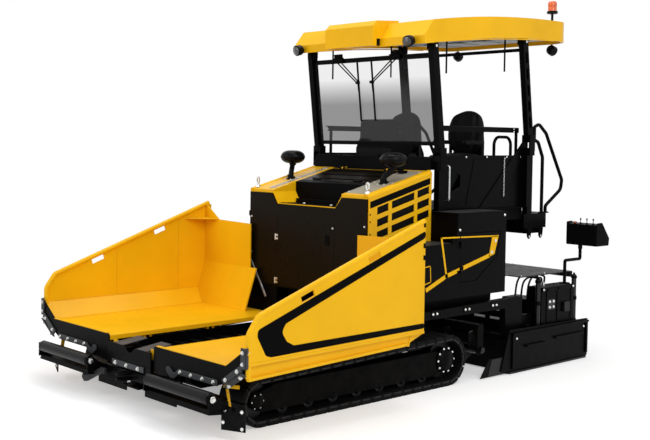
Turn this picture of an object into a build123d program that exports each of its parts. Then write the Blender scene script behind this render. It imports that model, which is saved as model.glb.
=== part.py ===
from build123d import *
import os
from math import atan2, cos, degrees, hypot, pi, radians, sin

# Asphalt paver on two steel-cored rubber-pad tracks, hopper open and screed on the ground.
# Millimetres. +Z is up, the hopper points along -Y and the machine's left side is +X.
# The origin is on the ground, under the middle of the machine's bounding box.

# ---------------------------------------------------------------- driving dimensions
running_gap = 0.3           # between a turning piece and the seat that carries it
pin_gap = 0.05              # radial, between a hinge pin and its bore
move_gap = 6                # between pieces that move past each other

# Tracks
track_inner_x = 930         # centre plane to a shoe's inner edge
shoe_width = 305
shoe_pitch = 140
shoe_slot = 14
shoe_depth = 28
belt_thickness = 58         # pad and chain together
idler_y, idler_r = -2170, 210
sprocket_y, sprocket_r = 270, 250
roller_r = 60
roller_count = 7
track_frame_inset = 68      # shoe edge to the track frame's cheek
cheek = 14

# Chassis
frame_x = 440               # centre plane to a frame plate's inner face
frame_plate = 20
frame_bottom, hopper_frame_top = 190, 514
frame_front, frame_rear = -2330, 545
deck_z = 880                # top of the deck that carries the bodywork
deck_half = 1025
conveyor_z = 410            # top of the conveyor's floor plate
slat_pitch = 180

# Hopper
wing_half = 1620            # centre plane to a wing's outer face, wings open
wing_front, wing_rear = -2640, -570
wing_floor_z = 585
wing_floor_in, wing_floor_out = 372, 1450
wing_plate = 14
rim_r = 24
wall_rear_z, wall_front_z = 1710, 1030
lip_front_z, lip_rear_z = 520, 582
hinge_x, hinge_z = 420, 544
hinge_pin_r = 16
cylinder_y = -1000
cylinder_foot, cylinder_eye = (560, 250), (840, 530)        # (x, z) of its two pivots, wings open
apron_thickness = 14
apron_top_z = 605            # the aprons stand a little proud of the hopper's floor
apron_bottom_z = 372
wing_slot = (150, 50)       # pockets through a wing's wall under its rim
wing_slot_stations = (-2010, -1230)

# Push rollers
push_roller_r, push_roller_z = 55, 355
push_roller_y = -2787
push_pin_y, push_pin_r = -2606, 40
tow_pin_r = 24
push_roller_in, push_roller_out = 475, 1345
apron_clear = 10            # apron's raised edge above a roller that swings in under it

# Engine hood
hood_half = 880
hood_front, hood_rear = -545, 370
hood_front_z, hood_rear_z = 1880, 2112
hood_bottom_z = 1400
hood_wall = 8
well_half = 510             # half width of the recessed middle of the hood
roll_r = 36                 # rolled edge along each side of the hood
rim_depth = 34              # of the hood's front rim, above the dark front wall

# Side bodies and station
body_half = 1220
body_rear = 1165
ledge_z, shoulder_z = 1700, 1400
floor_z = 1700              # top of the operator's floor
floor_mid, floor_rear = 1950, 2370   # rear edge of the floor and of the step behind it
bulkhead_y, bulkhead_top = 385, 2250
panel_half = 845            # outer face of the station's side panels
panel_top = 2270
rail_z = 2545
seat_x, seat_y, seat_foot_z = 450, 1265, 2040
slide_rail_z = 2150
console_x = -100
wheel_x, wheel_y, wheel_z = 20, 800, 2470
wheel_axis = Vector(0, 0.5, 0.866).normalized()

# Roof
post_x = 885                # centre of a post
post_width, post_depth = 66, 90
fold_front_foot = (480, 2310)
fold_vector = (-135, 1060)  # foot pivot to head pivot, the same on all four posts
fold_rear_foot = (1995, 2460)
fold_pin_r = 14
roof_half = 955
roof_front, roof_rear = 134, 2700
roof_corner = 250           # plan radius of the rear corners
visor_front, visor_half = 30, 350
lamp_r = 60

# Auger
auger_y, auger_z, auger_r = 780, 292, 185
auger_shaft_r = 45
auger_in, auger_out = 130, 1190
auger_hanger = 1195         # inner face of the outer bearing hangers

# Screed
tow_y, tow_z = -350, 705
tow_x, tow_width = 1135, 76
screed_front, screed_rear = 1200, 2560
screed_half = 1240
screed_split_y = 1600       # main screed in front, extensions behind
plate_x, plate_thickness = screed_half + 22, 24
end_plate_front, end_plate_rear = 1040, 2630
walkway_z = 960
remote_x, remote_y, remote_top_y = screed_half - 90, 2360, 2660
machine_rear = push_roller_r - push_roller_y        # keeps the origin midway along the machine
eye_drift = 12              # play of a hopper rod's eye round its pin

os.makedirs("parts", exist_ok=True)


# ---------------------------------------------------------------- shared shapes
def block(x, y, z, mode=Mode.ADD):
    """Box between pairs of limits, given in either order."""
    with Locations(((x[0] + x[1]) / 2, (y[0] + y[1]) / 2, (z[0] + z[1]) / 2)):
        Box(abs(x[1] - x[0]), abs(y[1] - y[0]), abs(z[1] - z[0]), mode=mode)


def side_profile(points, x_limits, mode=Mode.ADD):
    """Outline of (y, z) corners, extruded across the machine between two x limits."""
    low, high = sorted(x_limits)
    with BuildSketch(Plane.YZ.offset(low)) as outline:
        with BuildLine():
            Polyline(*points, close=True)
        make_face()
    extrude(to_extrude=outline.sketch, amount=high - low, mode=mode)


def front_profile(points, y_limits, mode=Mode.ADD):
    """Outline of (x, z) corners, extruded along the machine between two y limits."""
    low, high = sorted(y_limits)
    with BuildSketch(Plane.XZ.offset(-high)) as outline:
        with BuildLine():
            Polyline(*points, close=True)
        make_face()
    extrude(to_extrude=outline.sketch, amount=high - low, mode=mode)


def plan_profile(points, z_limits, mode=Mode.ADD):
    """Outline of (x, y) corners, extruded upwards between two z limits."""
    low, high = sorted(z_limits)
    with BuildSketch(Plane.XY.offset(low)) as outline:
        with BuildLine():
            Polyline(*points, close=True)
        make_face()
    extrude(to_extrude=outline.sketch, amount=high - low, mode=mode)


def axle(start, end, radius, mode=Mode.ADD):
    """Round bar between two points."""
    line = Vector(*end) - Vector(*start)
    with BuildSketch(Plane(origin=start, z_dir=line)) as section:
        Circle(radius)
    extrude(to_extrude=section.sketch, amount=line.length, mode=mode)


def tube(points, radius, bend):
    """Round bar bent along a route, with one bend radius or a list of them."""
    with BuildLine() as route:
        FilletPolyline(*points, radius=bend)
    with BuildSketch(Plane(origin=route.line @ 0, z_dir=route.line % 0)) as section:
        Circle(radius)
    sweep(sections=section.sketch, path=route.line)


def save(part, label):
    """Label a finished piece and write its STEP file."""
    part.part.label = label
    export_step(part.part, f"parts/{label}.step")


sides = {"left": 1, "right": -1}    # name of a side: sign of its x

# ---------------------------------------------------------------- tracks
belt_run = hypot(sprocket_y - idler_y, sprocket_r - idler_r)
belt_rise = 2 * atan2(sprocket_r - idler_r, sprocket_y - idler_y)   # slope of the upper run
belt_straight = sprocket_y - idler_y
belt_length = 2 * belt_straight + (pi + belt_rise) * sprocket_r + (pi - belt_rise) * idler_r
shoe_count = round(belt_length / shoe_pitch)


def belt_point(travel):
    """Point and heading on the track's outer face, a distance along it from the idler's foot."""
    if travel < belt_straight:
        return idler_y + travel, 0, 0
    travel -= belt_straight
    if travel < (pi + belt_rise) * sprocket_r:
        turn = travel / sprocket_r
        return sprocket_y + sprocket_r * sin(turn), sprocket_r * (1 - cos(turn)), turn
    travel -= (pi + belt_rise) * sprocket_r
    if travel < belt_straight:
        turn = pi + belt_rise
        start_y = sprocket_y + sprocket_r * sin(turn)
        start_z = sprocket_r * (1 - cos(turn))
        return start_y + travel * cos(turn), start_z + travel * sin(turn), turn
    turn = pi + belt_rise + (travel - belt_straight) / idler_r
    return idler_y + idler_r * sin(turn), idler_r * (1 - cos(turn)), turn


def belt_outline(inset, x_limits, mode):
    """Closed loop of the track, set in from its outer face."""
    low, high = sorted(x_limits)
    with BuildSketch(Plane.YZ.offset(low)) as outline:
        with Locations((idler_y, idler_r)):
            Circle(idler_r - inset)
        with Locations((sprocket_y, sprocket_r)):
            Circle(sprocket_r - inset)
        make_hull()
    extrude(to_extrude=outline.sketch, amount=high - low, mode=mode)


cheek_in = track_inner_x + track_frame_inset
cheek_out = track_inner_x + shoe_width - track_frame_inset
roller_z = belt_thickness + roller_r + running_gap
roller_step = (sprocket_y - idler_y - 620) / (roller_count - 1)

for name, side in sides.items():
    with BuildPart() as track:
        span = (side * track_inner_x, side * (track_inner_x + shoe_width))
        belt_outline(0, span, Mode.ADD)
        belt_outline(belt_thickness, span, Mode.SUBTRACT)
        slots = []
        for shoe in range(shoe_count):
            y, z, turn = belt_point((shoe + 0.5) * belt_length / shoe_count)
            slots.append(Location((sum(span) / 2, y, z), (degrees(turn), 0, 0)))
        with Locations(*slots):
            Box(shoe_width + 4, shoe_slot, 2 * shoe_depth, mode=Mode.SUBTRACT)
    save(track, f"track_{name}")

    # Two cheeks joined by a box beam, with a fork at each end
    with BuildPart() as track_frame:
        for x in (cheek_in, cheek_out - cheek):
            side_profile([
                (idler_y - 70, idler_r - 45), (idler_y + 60, 105), (sprocket_y - 150, 105),
                (sprocket_y + 80, sprocket_r - 55), (sprocket_y + 80, sprocket_r + 55),
                (sprocket_y - 120, 345), (idler_y + 230, 330), (idler_y - 70, idler_r + 45),
            ], (side * x, side * (x + cheek)))
        block((side * cheek_in, side * cheek_out), (idler_y + 260, sprocket_y - 260),
              (roller_z + roller_r + 12, 330))
    save(track_frame, f"track_frame_{name}")

    # Idler, sprocket and bottom rollers, each on its own axle between the cheeks
    with BuildPart() as track_wheels:
        hub_in, hub_out = side * (cheek_in + cheek + running_gap), side * (cheek_out - cheek - running_gap)
        for y, z, radius, hub in (
            (idler_y, idler_r, idler_r - belt_thickness - running_gap, 42),
            (sprocket_y, sprocket_r, sprocket_r - belt_thickness - running_gap, 90),
        ):
            axle((hub_in, y, z), (hub_out, y, z), hub)
            middle = (hub_in + hub_out) / 2
            axle((middle - 40, y, z), (middle + 40, y, z), radius)
        for roller in range(roller_count):
            y = idler_y + 310 + roller * roller_step
            axle((hub_in, y, roller_z), (hub_out, y, roller_z), roller_r)
    save(track_wheels, f"track_wheels_{name}")

# ---------------------------------------------------------------- chassis
arm_in, arm_out = tow_x - tow_width / 2, tow_x + tow_width / 2
hinge_stations = (frame_front + 130, -1450, wing_rear - 90)     # y of each hopper hinge
with BuildPart() as chassis_frame:
    for side in sides.values():
        side_profile([
            (frame_front, frame_bottom + 60), (frame_front, hopper_frame_top),
            (hood_front - 15, hopper_frame_top), (hood_front + 15, deck_z - 20),
            (body_rear - 15, deck_z - 20), (body_rear - 15, 690), (frame_rear, 670),
            (frame_rear, frame_bottom), (frame_front + 120, frame_bottom),
        ], (side * frame_x, side * (frame_x + frame_plate)))
        # Lugs of the hopper cylinders
        for gap in (-56, 44):
            block((side * (frame_x + frame_plate), side * (cylinder_foot[0] + 30)),
                  (cylinder_y + gap, cylinder_y + gap + 12), (cylinder_foot[1] - 35, cylinder_foot[1] + 40))
        axle((side * cylinder_foot[0], cylinder_y - 50, cylinder_foot[1]),
             (side * cylinder_foot[0], cylinder_y + 50, cylinder_foot[1]), 14)
        # Brackets and pins of the tow points
        block((side * (deck_half - 30), side * (arm_in - 6)), (tow_y - 70, tow_y + 70), (tow_z - 55, deck_z))
        axle((side * (arm_in - 6), tow_y, tow_z), (side * (arm_out + 8), tow_y, tow_z), 30)
        # Plates that close the deck's front corners and hang from its sides
        block((side * (frame_x + frame_plate), side * deck_half), (hood_front + 5, hood_front + 17),
              (560, deck_z - 20))
        block((side * (deck_half - 12), side * deck_half), (hood_front + 17, body_rear - 15),
              (700, deck_z - 20))
        # Cross tubes out to the track frames
        for y in (idler_y + 420, sprocket_y - 420):
            block((side * frame_x, side * cheek_in), (y - 70, y + 70), (215, 325))
        # Brackets, bosses and pins of the hopper hinges
        for y in hinge_stations:
            block((side * (frame_x - 36), side * frame_x), (y - 18, y + 18), (450, hopper_frame_top))
            block((side * (hinge_x - 16), side * (hinge_x + 16)), (y - 18, y + 18), (450, hinge_z))
            axle((side * hinge_x, y - 18, hinge_z), (side * hinge_x, y + 18, hinge_z), 21)
            axle((side * hinge_x, y - 46, hinge_z), (side * hinge_x, y + 46, hinge_z), hinge_pin_r)
    block((-frame_x, frame_x), (frame_front + 120, frame_rear), (frame_bottom, frame_bottom + 14))
    block((-frame_x, frame_x), (frame_front, frame_front + 20), (frame_bottom + 60, conveyor_z - 22))
    block((-frame_x, frame_x), (frame_rear - 20, frame_rear), (frame_bottom + 14, conveyor_z - 22))
    block((-deck_half, deck_half), (hood_front + 5, body_rear - 15), (deck_z - 20, deck_z))
save(chassis_frame, "chassis_frame")

# Two slat conveyors side by side on one floor plate
with BuildPart() as conveyor:
    block((running_gap - frame_x, frame_x - running_gap), (frame_front + 30, frame_rear),
          (conveyor_z - 20, conveyor_z))
    block((-26, 26), (frame_front + 30, frame_rear), (conveyor_z, conveyor_z + 62))
    slat_count = int((frame_rear - frame_front - 120) / slat_pitch) + 1
    for side in sides.values():
        for chain_x in (90, 355):
            block((side * chain_x, side * (chain_x + 26)), (frame_front + 40, frame_rear - 10),
                  (conveyor_z, conveyor_z + 22))
        for slat in range(slat_count):
            y = frame_front + 80 + slat * slat_pitch
            block((side * 60, side * 400), (y - 22, y + 22), (conveyor_z, conveyor_z + 34))
save(conveyor, "conveyor")

with BuildPart() as engine_block:
    block((-360, 360), (hood_front + 150, hood_rear - 90), (deck_z, deck_z + 760))
save(engine_block, "engine_block")

# ---------------------------------------------------------------- hopper wings
wall_outer = wing_half - 5              # the rolled rim stands proud of the sheet
wall_inner = wall_outer - wing_plate
rim_x = wing_half - rim_r

def ridge_z(y):
    """Height of the wing's sloping top edge at a station."""
    share = (y - (wing_front + 90)) / (wing_rear - (wing_front + 90))
    return wall_front_z + share * (wall_rear_z - wall_front_z)


def hopper_wing(side):
    """Yellow wing: floor, outer wall with a rolled rim, rear wall and hinge knuckles."""
    floor_top, floor_under = wing_floor_z, wing_floor_z - wing_plate
    with BuildPart() as wing:
        # Floor, kicked up to the outer wall
        front_profile([
            (side * wing_floor_in, floor_under), (side * wing_floor_in, floor_top),
            (side * (wing_floor_out - 8), floor_top), (side * wall_inner, floor_top + 158),
            (side * wall_outer, floor_top + 158), (side * wall_outer, floor_top + 140),
            (side * wing_floor_out, floor_under),
        ], (wing_front, wing_rear))
        # Outer wall
        side_profile([
            (wing_rear, 680), (wing_rear, wall_rear_z - rim_r),
            (wing_front + 90, wall_front_z - rim_r), (wing_front + rim_r, 880), (wing_front + rim_r, 640),
        ], (side * wall_inner, side * wall_outer))
        slope = degrees(atan2(wall_rear_z - wall_front_z, wing_rear - wing_front - 90))
        with BuildSketch(Plane.YZ.offset(min(side * wall_inner, side * wall_outer))) as slots:
            for y in wing_slot_stations:
                with Locations((y, ridge_z(y) - 2 * rim_r - wing_slot[1] / 2 - 8)):
                    Rectangle(*wing_slot, rotation=slope)
        extrude(to_extrude=slots.sketch, amount=wing_plate, mode=Mode.SUBTRACT)
        # Recessed sill and the lip under it
        side_profile([
            (wing_rear, 690), (wing_front + 20, 650), (wing_front + 20, lip_front_z),
            (-790, lip_rear_z), (wing_rear, 660),
        ], (side * (wing_half - 46), side * (wing_half - 28)))
        side_profile([
            (wing_front + 10, lip_front_z), (wing_front + 10, lip_front_z + 24),
            (-790, lip_rear_z + 24), (-790, lip_rear_z),
        ], (side * (wing_half - 30), side * wing_half))
        side_profile([
            (wing_rear, 672), (wing_rear, 694), (wing_front + 10, 660), (wing_front + 10, 636),
        ], (side * (wing_half - 46), side * wing_half))
        # Rolled rim along the ridge and down the front
        tube([
            (side * rim_x, wing_rear, wall_rear_z - rim_r),
            (side * rim_x, wing_front + 120, ridge_z(wing_front + 120) - rim_r),
            (side * rim_x, wing_front + rim_r, 885),
            (side * rim_x, wing_front + rim_r, lip_front_z + 20),
        ], rim_r, 70)
        # Rear wall, lower than the corner, with the deflector below it
        front_profile([
            (side * 800, 1030), (side * 800, 1500), (side * 1350, 1512),
            (side * wall_inner, wall_rear_z - rim_r), (side * wall_inner, 1030),
        ], (wing_rear - 40, wing_rear - 40 + wing_plate))
        side_profile([
            (wing_rear - 40, 1030), (wing_rear - 26, 1030), (wing_rear - 26, 1020),
            (wing_rear - 180, floor_under), (wing_rear - 196, floor_under),
        ], (side * 700, side * wall_inner))
        # Flat gusset in the rear corner and the wall's rear edge
        plan_profile([
            (side * 1350, wing_rear - 36), (side * wall_inner, wing_rear - 36),
            (side * wall_inner, wing_rear - 330),
        ], (1512, 1524))
        block((side * (wall_inner - 60), side * wall_inner), (wing_rear - 14, wing_rear), (690, wall_rear_z - 40))
        block((side * (wall_inner - 14), side * wall_inner), (wing_rear - 40, wing_rear), (690, 1560))
        # Stiffeners under the floor
        for y in (-2280, -1120):
            block((side * (hinge_x + 90), side * 880), (y - 8, y + 8), (floor_under - 40, floor_under))
        # Cheeks and pin for the cylinder's rod
        for gap in (-36, 24):
            block((side * (cylinder_eye[0] - 40), side * (cylinder_eye[0] + 40)),
                  (cylinder_y + gap, cylinder_y + gap + 12), (cylinder_eye[1] - 34, floor_under))
        axle((side * cylinder_eye[0], cylinder_y - 30, cylinder_eye[1]),
             (side * cylinder_eye[0], cylinder_y + 30, cylinder_eye[1]), 14)
        # Hinge knuckles
        for y in hinge_stations:
            for gap in (-44, 22):
                block((side * (hinge_x - 26), side * (hinge_x + 26)), (y + gap, y + gap + 22),
                      (hinge_z - 24, floor_under))
            axle((side * hinge_x, y - 50, hinge_z), (side * hinge_x, y + 50, hinge_z),
                 hinge_pin_r + pin_gap, Mode.SUBTRACT)
    return wing


def wing_apron(side):
    """Black plate hung across the front of a wing, raised where a push roller swings in."""
    raised_z = push_roller_z + push_roller_r + apron_clear
    with BuildPart() as apron:
        front_profile([
            (side * 362, apron_bottom_z + 10), (side * 362, 590), (side * 378, apron_top_z),
            (side * 1360, apron_top_z), (side * 1590, apron_top_z + 160), (side * 1590, apron_top_z - 8),
            (side * 1240, raised_z), (side * 760, raised_z), (side * 700, apron_bottom_z),
            (side * 420, apron_bottom_z),
        ], (wing_front - apron_thickness, wing_front))
    return apron


for name, side in sides.items():
    save(hopper_wing(side), f"hopper_wing_{name}")
    save(wing_apron(side), f"wing_apron_{name}")

# Nose between the wings, a fork round the push beam's swivel pin
nose_rear, nose_front = frame_front, -2662
with BuildPart() as hopper_nose:
    block((-350, 350), (nose_rear - 26, nose_rear), (176, conveyor_z + 60))
    block((-320, 320), (nose_front, nose_rear - 26), (340, 352))
    block((-130, 130), (nose_front + 6, nose_rear - 26), (176, 190))
    for side in sides.values():
        block((side * 300, side * 320), (nose_front, nose_rear - 26), (352, 470))
        block((side * 258, side * 345), (nose_front - 14, nose_front), (345, 545))
    front_profile([
        (-262, 345), (262, 345), (262, 532), (95, 540), (30, 492), (-30, 492), (-95, 540), (-262, 548),
    ], (nose_front - 14, nose_front))
    axle((0, push_pin_y, 170), (0, push_pin_y, 360), push_pin_r + pin_gap, Mode.SUBTRACT)
save(hopper_nose, "hopper_nose")

# ---------------------------------------------------------------- push rollers
push_front, push_rear = -2668, -2572
with BuildPart() as push_beam:
    block((-1300, 1300), (push_front, push_rear), (250, 326))
    axle((0, push_pin_y, 180), (0, push_pin_y, 352), push_pin_r)
    # Towing jaw in the middle
    for z in (256, 304):
        with BuildSketch(Plane.XY.offset(z)) as jaw:
            with Locations((0, -2720)):
                SlotOverall(150, 110, rotation=90)
                Circle(tow_pin_r, mode=Mode.SUBTRACT)
        extrude(to_extrude=jaw.sketch, amount=16)
    for side in sides.values():
        for x in (push_roller_in - 22, push_roller_out + 8):
            side_profile([
                (push_roller_y - 36, push_roller_z - 95), (push_front, push_roller_z - 95),
                (push_front, 320), (push_roller_y + 20, push_roller_z + 36),
                (push_roller_y - 36, push_roller_z + 36),
            ], (side * x, side * (x + 14)))
            axle((side * (x - 2), push_roller_y, push_roller_z),
                 (side * (x + 16), push_roller_y, push_roller_z), 22 + pin_gap, Mode.SUBTRACT)
        block((side * 1286, side * (push_roller_out + 22)), (push_front, push_front + 40), (256, 320))
        # Skirt under the beam, each side of the nose's fork
        block((side * 150, side * 620), (push_pin_y + 6, push_pin_y + 18), (115, 252))
save(push_beam, "push_beam")

for name, side in sides.items():
    with BuildPart() as push_roller:
        axle((side * push_roller_in, push_roller_y, push_roller_z),
             (side * push_roller_out, push_roller_y, push_roller_z), push_roller_r)
        fillet(push_roller.edges().filter_by(GeomType.CIRCLE), 8)
        axle((side * (push_roller_in - 22), push_roller_y, push_roller_z),
             (side * (push_roller_out + 22), push_roller_y, push_roller_z), 22)
    save(push_roller, f"push_roller_{name}")

# ---------------------------------------------------------------- engine hood
hood_slope = (hood_rear_z - hood_front_z) / (hood_rear - hood_front)


def hood_top(y):
    """Height of the hood's sloping top edge at a station."""
    return hood_front_z + hood_slope * (y - hood_front)


grille_rows, grille_step = 3, 118       # rows of slots and their spacing
grille_drop, grille_height = 213, 67    # lower edge of the top row below the hood's edge, and a slot's height
grille_slots = ((-425, -267), (-218, 110), (156, 333))      # front and rear end of each slot
well_z, well_rear = 1745, -210          # floor and rear wall of the well
lid_front, lid_rear = -144, hood_rear - 46
lid_half = well_half - 6
lid_hinge = (lid_rear - 16, hood_top(lid_rear - 16) + 12)
with BuildPart() as hood:
    for side in sides.values():
        # Side sheet with its vent slots
        outer = (side * (hood_half - hood_wall), side * hood_half)
        side_profile([
            (hood_front, hood_bottom_z), (hood_front, hood_front_z - 30),
            (hood_rear, hood_rear_z - 30), (hood_rear, hood_bottom_z),
        ], outer)
        for row in range(grille_rows):
            for start, end in grille_slots:
                low = -grille_drop - row * grille_step
                side_profile([
                    (start, hood_top(start) + low), (end, hood_top(end) + low),
                    (end, hood_top(end) + low + grille_height),
                    (start, hood_top(start) + low + grille_height),
                ], (side * (hood_half - 30), side * (hood_half + 2)), Mode.SUBTRACT)
        # Top sheet from the well to the side, and the rolled edge
        side_profile([
            (hood_front, hood_front_z - 14), (hood_front, hood_front_z),
            (hood_rear, hood_rear_z), (hood_rear, hood_rear_z - 14),
        ], (side * well_half, side * (hood_half - 20)))
        axle((side * (hood_half - roll_r + 2), hood_front, hood_front_z - roll_r + 10),
             (side * (hood_half - roll_r + 2), hood_rear, hood_rear_z - roll_r + 10), roll_r)
        # Wall down into the well, upright below the top sheet and then sloping inwards
        side_profile([
            (hood_front, hood_front_z - 30), (hood_front, hood_front_z - 7),
            (well_rear, hood_top(well_rear) - 7), (well_rear, hood_front_z - 30),
        ], (side * well_half, side * (well_half + 10)))
        front_profile([
            (side * well_half, hood_front_z - 20), (side * (well_half + 10), hood_front_z - 20),
            (side * (well_half - 75), well_z - 6), (side * (well_half - 85), well_z - 6),
        ], (hood_front, well_rear))
        # Front rim above the front wall
        block((side * (well_half + 4), side * (hood_half - 10)), (hood_front, hood_front + hood_wall),
              (hood_front_z - rim_depth, hood_front_z - 10))
    block((-well_half + 76, well_half - 76), (hood_front, well_rear), (well_z - 10, well_z))
    block((-well_half, well_half), (well_rear - 12, well_rear), (well_z - 10, hood_top(well_rear) - 7))
    side_profile([
        (well_rear - 12, hood_top(well_rear - 12) - 14), (well_rear - 12, hood_top(well_rear - 12)),
        (lid_front - move_gap, hood_top(lid_front - move_gap)),
        (lid_front - move_gap, hood_top(lid_front - move_gap) - 14),
    ], (-well_half, well_half))
    side_profile([
        (hood_rear - 40, hood_top(hood_rear - 40) - 14), (hood_rear - 40, hood_top(hood_rear - 40)),
        (hood_rear, hood_rear_z), (hood_rear, hood_rear_z - 14),
    ], (-well_half, well_half))
    # Hinge ears for the lid
    for x in (-330, 330):
        axle((x - 7, *lid_hinge), (x + 7, *lid_hinge), 14)
        axle((x - 40, *lid_hinge), (x + 40, *lid_hinge), 6)
        side_profile([
            (lid_hinge[0], lid_hinge[1] - 5), (lid_hinge[0], lid_hinge[1] + 9),
            (hood_rear - 8, hood_rear_z + 12), (hood_rear - 8, hood_top(hood_rear - 8)),
            (hood_rear - 30, hood_top(hood_rear - 30)), (hood_rear - 38, hood_top(hood_rear - 38) + 4),
        ], (x - 7, x + 7))
save(hood, "hood")

# Dark front wall, seen over the hopper, stepped down in the middle like the rim above it
with BuildPart() as hood_front_wall:
    wall_top = hood_front_z - rim_depth - 1
    front_profile([
        (-690, deck_z), (-hood_half + 10, 1130), (-hood_half + 10, wall_top), (-well_half - 14, wall_top),
        (-well_half + 80, well_z - 14), (well_half - 80, well_z - 14), (well_half + 14, wall_top),
        (hood_half - 10, wall_top), (hood_half - 10, 1130), (690, deck_z),
    ], (hood_front - 12, hood_front - running_gap))
    block((-hood_half + 60, hood_half - 60), (hood_front - running_gap, hood_front + 30), (deck_z, well_z - 80))
save(hood_front_wall, "hood_front_wall")

# Lid over the middle of the engine bay, hinged at its rear edge
with BuildPart() as hood_lid:
    side_profile([
        (lid_front, hood_top(lid_front) - 12), (lid_front, hood_top(lid_front)),
        (lid_rear, hood_top(lid_rear)), (lid_rear, hood_top(lid_rear) - 12),
    ], (-lid_half, lid_half))
    for x in (-330, 330):
        axle((x - 40, *lid_hinge), (x - 8, *lid_hinge), 14)
        axle((x + 8, *lid_hinge), (x + 40, *lid_hinge), 14)
        axle((x - 40, *lid_hinge), (x + 40, *lid_hinge), 6 + pin_gap, Mode.SUBTRACT)
        block((x - 8, x + 8), (lid_hinge[0] - 22, lid_rear), (lid_hinge[1] - 60, lid_hinge[1]), Mode.SUBTRACT)
save(hood_lid, "hood_lid")

# Convex mirrors on bent stalks and the lifting eyes beside them
mirror_r = 136
with BuildPart() as mirrors:
    foot_front, foot_rear = -168, -96
    for side in sides.values():
        side_profile([
            (foot_front, hood_top(foot_front)), (foot_rear, hood_top(foot_rear)),
            (foot_rear, hood_top(foot_rear) + 12), (foot_front, hood_top(foot_front) + 12),
        ], (side * 650, side * 726))
        tube([
            (side * 688, -132, hood_top(-132) + 8), (side * 688, -132, 2040), (side * 742, -70, 2120),
            (side * 742, -62, 2190),
        ], 29, 36)
        with Locations((side * 742, -62, 2222)):
            Cylinder(mirror_r, 152)
    mirror_rims = mirrors.edges().filter_by(GeomType.CIRCLE).filter_by(lambda edge: edge.radius > mirror_r - 1)
    fillet(mirror_rims, 70)
save(mirrors, "mirrors")

# ---------------------------------------------------------------- side bodies
door_front, door_rear = 420, 1080
door_low, door_high = 1010, 1500
door_pin_x = body_half + 10
door_hinge_heights = (1100, 1350)
for name, side in sides.items():
    with BuildPart() as side_body:
        side_profile([
            (hood_front + 5, deck_z - 20), (hood_front + 5, shoulder_z), (hood_rear - 10, shoulder_z),
            (hood_rear + 15, ledge_z), (body_rear, ledge_z), (body_rear, deck_z - 20),
        ], (side * (body_half - 20), side * body_half))
        side_profile([
            (door_front, door_low), (door_front, door_high), (door_rear, door_high),
            (door_rear - 60, 1240), (door_rear - 400, door_low),
        ], (side * (body_half - 30), side * (body_half + 2)), Mode.SUBTRACT)
        # Ledge, shoulder and the end walls
        block((side * (hood_half + 5), side * (body_half - 20)), (hood_rear + 15, body_rear),
              (ledge_z - 12, ledge_z))
        block((side * (hood_half + 5), side * (body_half - 20)), (hood_front + 5, hood_rear + 15),
              (shoulder_z - 12, shoulder_z))
        block((side * (hood_half + 5), side * (body_half - 20)), (hood_rear + 3, hood_rear + 15),
              (shoulder_z, ledge_z))
        block((side * (deck_half - 12), side * (body_half - 20)), (hood_front + 5, hood_front + 17),
              (deck_z, shoulder_z - 12))
        block((side * (hood_half + 5), side * (body_half - 20)), (body_rear - 12, body_rear),
              (1180, ledge_z - 12))
        # Inner wall standing on the deck
        block((side * (deck_half - 12), side * deck_half), (hood_front + 17, body_rear - 15),
              (deck_z, shoulder_z - 12))
        for z in door_hinge_heights:
            axle((side * door_pin_x, door_front, z), (side * door_pin_x, door_front, z + 30), 9)
            axle((side * door_pin_x, door_front, z), (side * door_pin_x, door_front, z + 70), 5)
            block((side * body_half, side * (body_half + 5)), (door_front - 45, door_front - 4), (z, z + 30))
    save(side_body, f"side_body_{name}")

    # Hatch in the side body, hinged along its front edge
    gap = move_gap
    with BuildPart() as side_door:
        side_profile([
            (door_front + gap, door_low + gap), (door_front + gap, door_high - gap),
            (door_rear - gap - 1, door_high - gap), (door_rear - 62 - gap, 1242),
            (door_rear - 402 - gap, door_low + gap),
        ], (side * (body_half - 18), side * (body_half - 2)))
        for z in door_hinge_heights:
            axle((side * door_pin_x, door_front, z + 30 + running_gap),
                 (side * door_pin_x, door_front, z + 70), 9)
            block((side * (body_half - 2), side * (body_half + 5)), (door_front + 4, door_front + 50),
                  (z + 30 + running_gap, z + 70))
            axle((side * door_pin_x, door_front, z), (side * door_pin_x, door_front, z + 80),
                 5 + pin_gap, Mode.SUBTRACT)
    save(side_door, f"side_door_{name}")

# ---------------------------------------------------------------- operator's station
with BuildPart() as platform_floor:
    block((-hood_half, hood_half), (bulkhead_y, floor_mid), (floor_z - 12, floor_z))
    block((-hood_half, hood_half), (body_rear - 15, body_rear - 3), (deck_z, floor_z - 12))
    for side in sides.values():
        block((side * 790, side * 850), (body_rear - 3, floor_mid), (floor_z - 140, floor_z - 12))
        axle((side * seat_x, seat_y, floor_z), (side * seat_x, seat_y, seat_foot_z), 70)
        axle((side * seat_x, seat_y, seat_foot_z), (side * seat_x, seat_y, seat_foot_z + 60), 30)
save(platform_floor, "platform_floor")

with BuildPart() as rear_deck:
    block((-hood_half, hood_half), (floor_mid, floor_rear), (1455, 1620))
    for side in sides.values():
        block((side * 600, side * 860), (floor_mid + 60, floor_rear - 60), (1395, 1455))
save(rear_deck, "rear_deck")

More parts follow.
